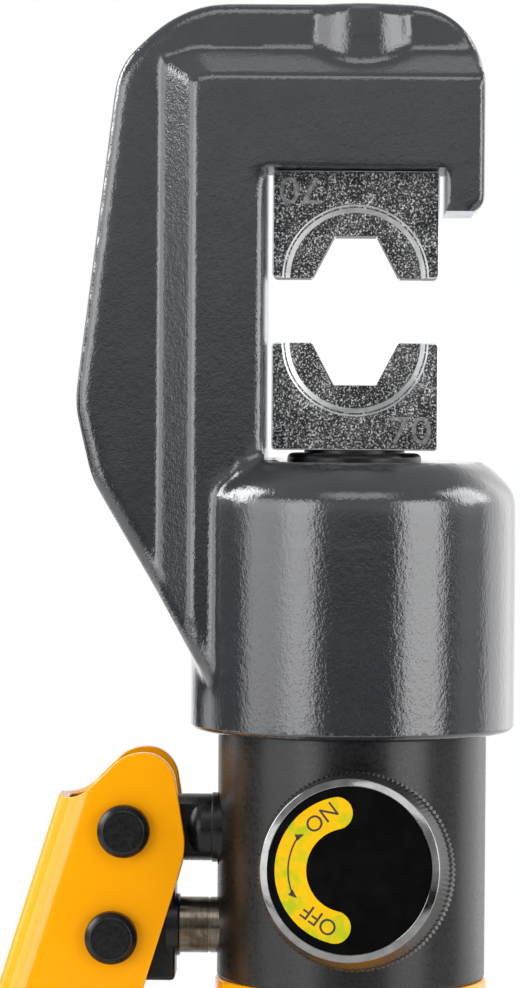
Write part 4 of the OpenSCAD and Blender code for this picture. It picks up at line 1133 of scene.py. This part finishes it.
# curved wall and roof, seen only in reflections: black low down, pale grey above
wallSetup = {
    "radius": 1.5, "from": -152, "to": 104, "low": -0.6, "high": 1.5, "tint": (0.95, 0.98, 1.0),
    "glow": [(0.10, 0.0), (0.38, 0.65), (0.50, 0.60), (1.0, 0.50)],
    "finish": {
        "sockets": {"Roughness": 1.0, "Specular IOR Level": 0.0, "Emission Strength": 1.0},
        "grain": {"scale": 5, "detail": 2},
        "tones": [(0.0, (0.004, 0.004, 0.004)), (1.0, (0.008, 0.008, 0.008))]},
}


def makeWall(setup):
    material = makeFinish("darkWall", setup["finish"])
    tree = material.node_tree
    stops = [(at, [glow * part for part in setup["tint"]]) for at, glow in setup["glow"]]
    rising = rampOn(tree, placeOn(tree, "Z"), stops)
    tree.links.new(rising, tree.nodes["Principled BSDF"].inputs["Emission Color"])
    line = [(0, -setup["radius"], height) for height in (setup["low"], setup["high"])]
    wall = linkMesh(swept(line, setup["from"], setup["to"], steps=48), "darkWall", [material], scale=1.0)
    roof = linkMesh(disc(setup["radius"], setup["high"], segments=96), "darkRoof", [material], scale=1.0)
    for piece in (wall, roof):
        piece.visible_camera = False
        piece.visible_diffuse = False
        piece.visible_shadow = False
        piece.visible_transmission = False


makeWall(wallSetup)

# pale round floor, which fades to white towards its rim for the camera
floorSetup = {
    "radius": 0.8, "fade": (0.28, 0.784),
    "finish": {
        "sockets": {"Roughness": 0.7, "Specular IOR Level": 0.1},
        "grain": {"scale": 30}, "tones": [(0.3, (0.84, 0.84, 0.83)), (0.7, (0.88, 0.88, 0.87))]},
}


def makeFloor(setup):
    material = makeFinish("paleFloor", setup["finish"])
    tree = material.node_tree
    where = tree.nodes.new("ShaderNodeTexCoord")
    reach = tree.nodes.new("ShaderNodeVectorMath")
    reach.operation = "LENGTH"
    tree.links.new(where.outputs["Object"], reach.inputs[0])
    fade = spanOn(tree, reach.outputs["Value"], 0.0, 1.0, *setup["fade"])
    path = tree.nodes.new("ShaderNodeLightPath")
    glow = tree.nodes.new("ShaderNodeEmission")
    glow.inputs["Strength"].default_value = 1.0
    mix = tree.nodes.new("ShaderNodeMixShader")
    tree.links.new(mathOn(tree, "MULTIPLY", fade, path.outputs["Is Camera Ray"]), mix.inputs["Fac"])
    tree.links.new(tree.nodes["Principled BSDF"].outputs["BSDF"], mix.inputs[1])
    tree.links.new(glow.outputs["Emission"], mix.inputs[2])
    tree.links.new(mix.outputs["Shader"], tree.nodes["Material Output"].inputs["Surface"])
    floor = linkMesh(disc(setup["radius"], 0, segments=128), "paleFloor", [material], scale=1.0)


makeFloor(floorSetup)

# white surround for the camera and for reflections, a weaker fill for the rest
surroundSetup = {"colour": (1.0, 1.0, 1.0, 1.0), "white": 1.0, "fill": 0.26}


def makeSurround(setup):
    world = bpy.data.worlds.new("whiteSurround")
    world.use_nodes = True
    scene.world = world
    tree = world.node_tree
    fill = tree.nodes["Background"]
    white = tree.nodes.new("ShaderNodeBackground")
    for light, strength in ((fill, setup["fill"]), (white, setup["white"])):
        light.inputs["Color"].default_value = setup["colour"]
        light.inputs["Strength"].default_value = strength
    path = tree.nodes.new("ShaderNodeLightPath")
    seen = path.outputs["Is Camera Ray"]
    for ray in ("Is Glossy Ray", "Is Transmission Ray"):
        seen = mathOn(tree, "ADD", seen, path.outputs[ray])
    mix = tree.nodes.new("ShaderNodeMixShader")
    tree.links.new(seen, mix.inputs["Fac"])
    tree.links.new(fill.outputs["Background"], mix.inputs[1])
    tree.links.new(white.outputs["Background"], mix.inputs[2])
    tree.links.new(mix.outputs["Shader"], tree.nodes["World Output"].inputs["Surface"])


makeSurround(surroundSetup)
scene.view_settings.view_transform = "Standard"
print("studio set")
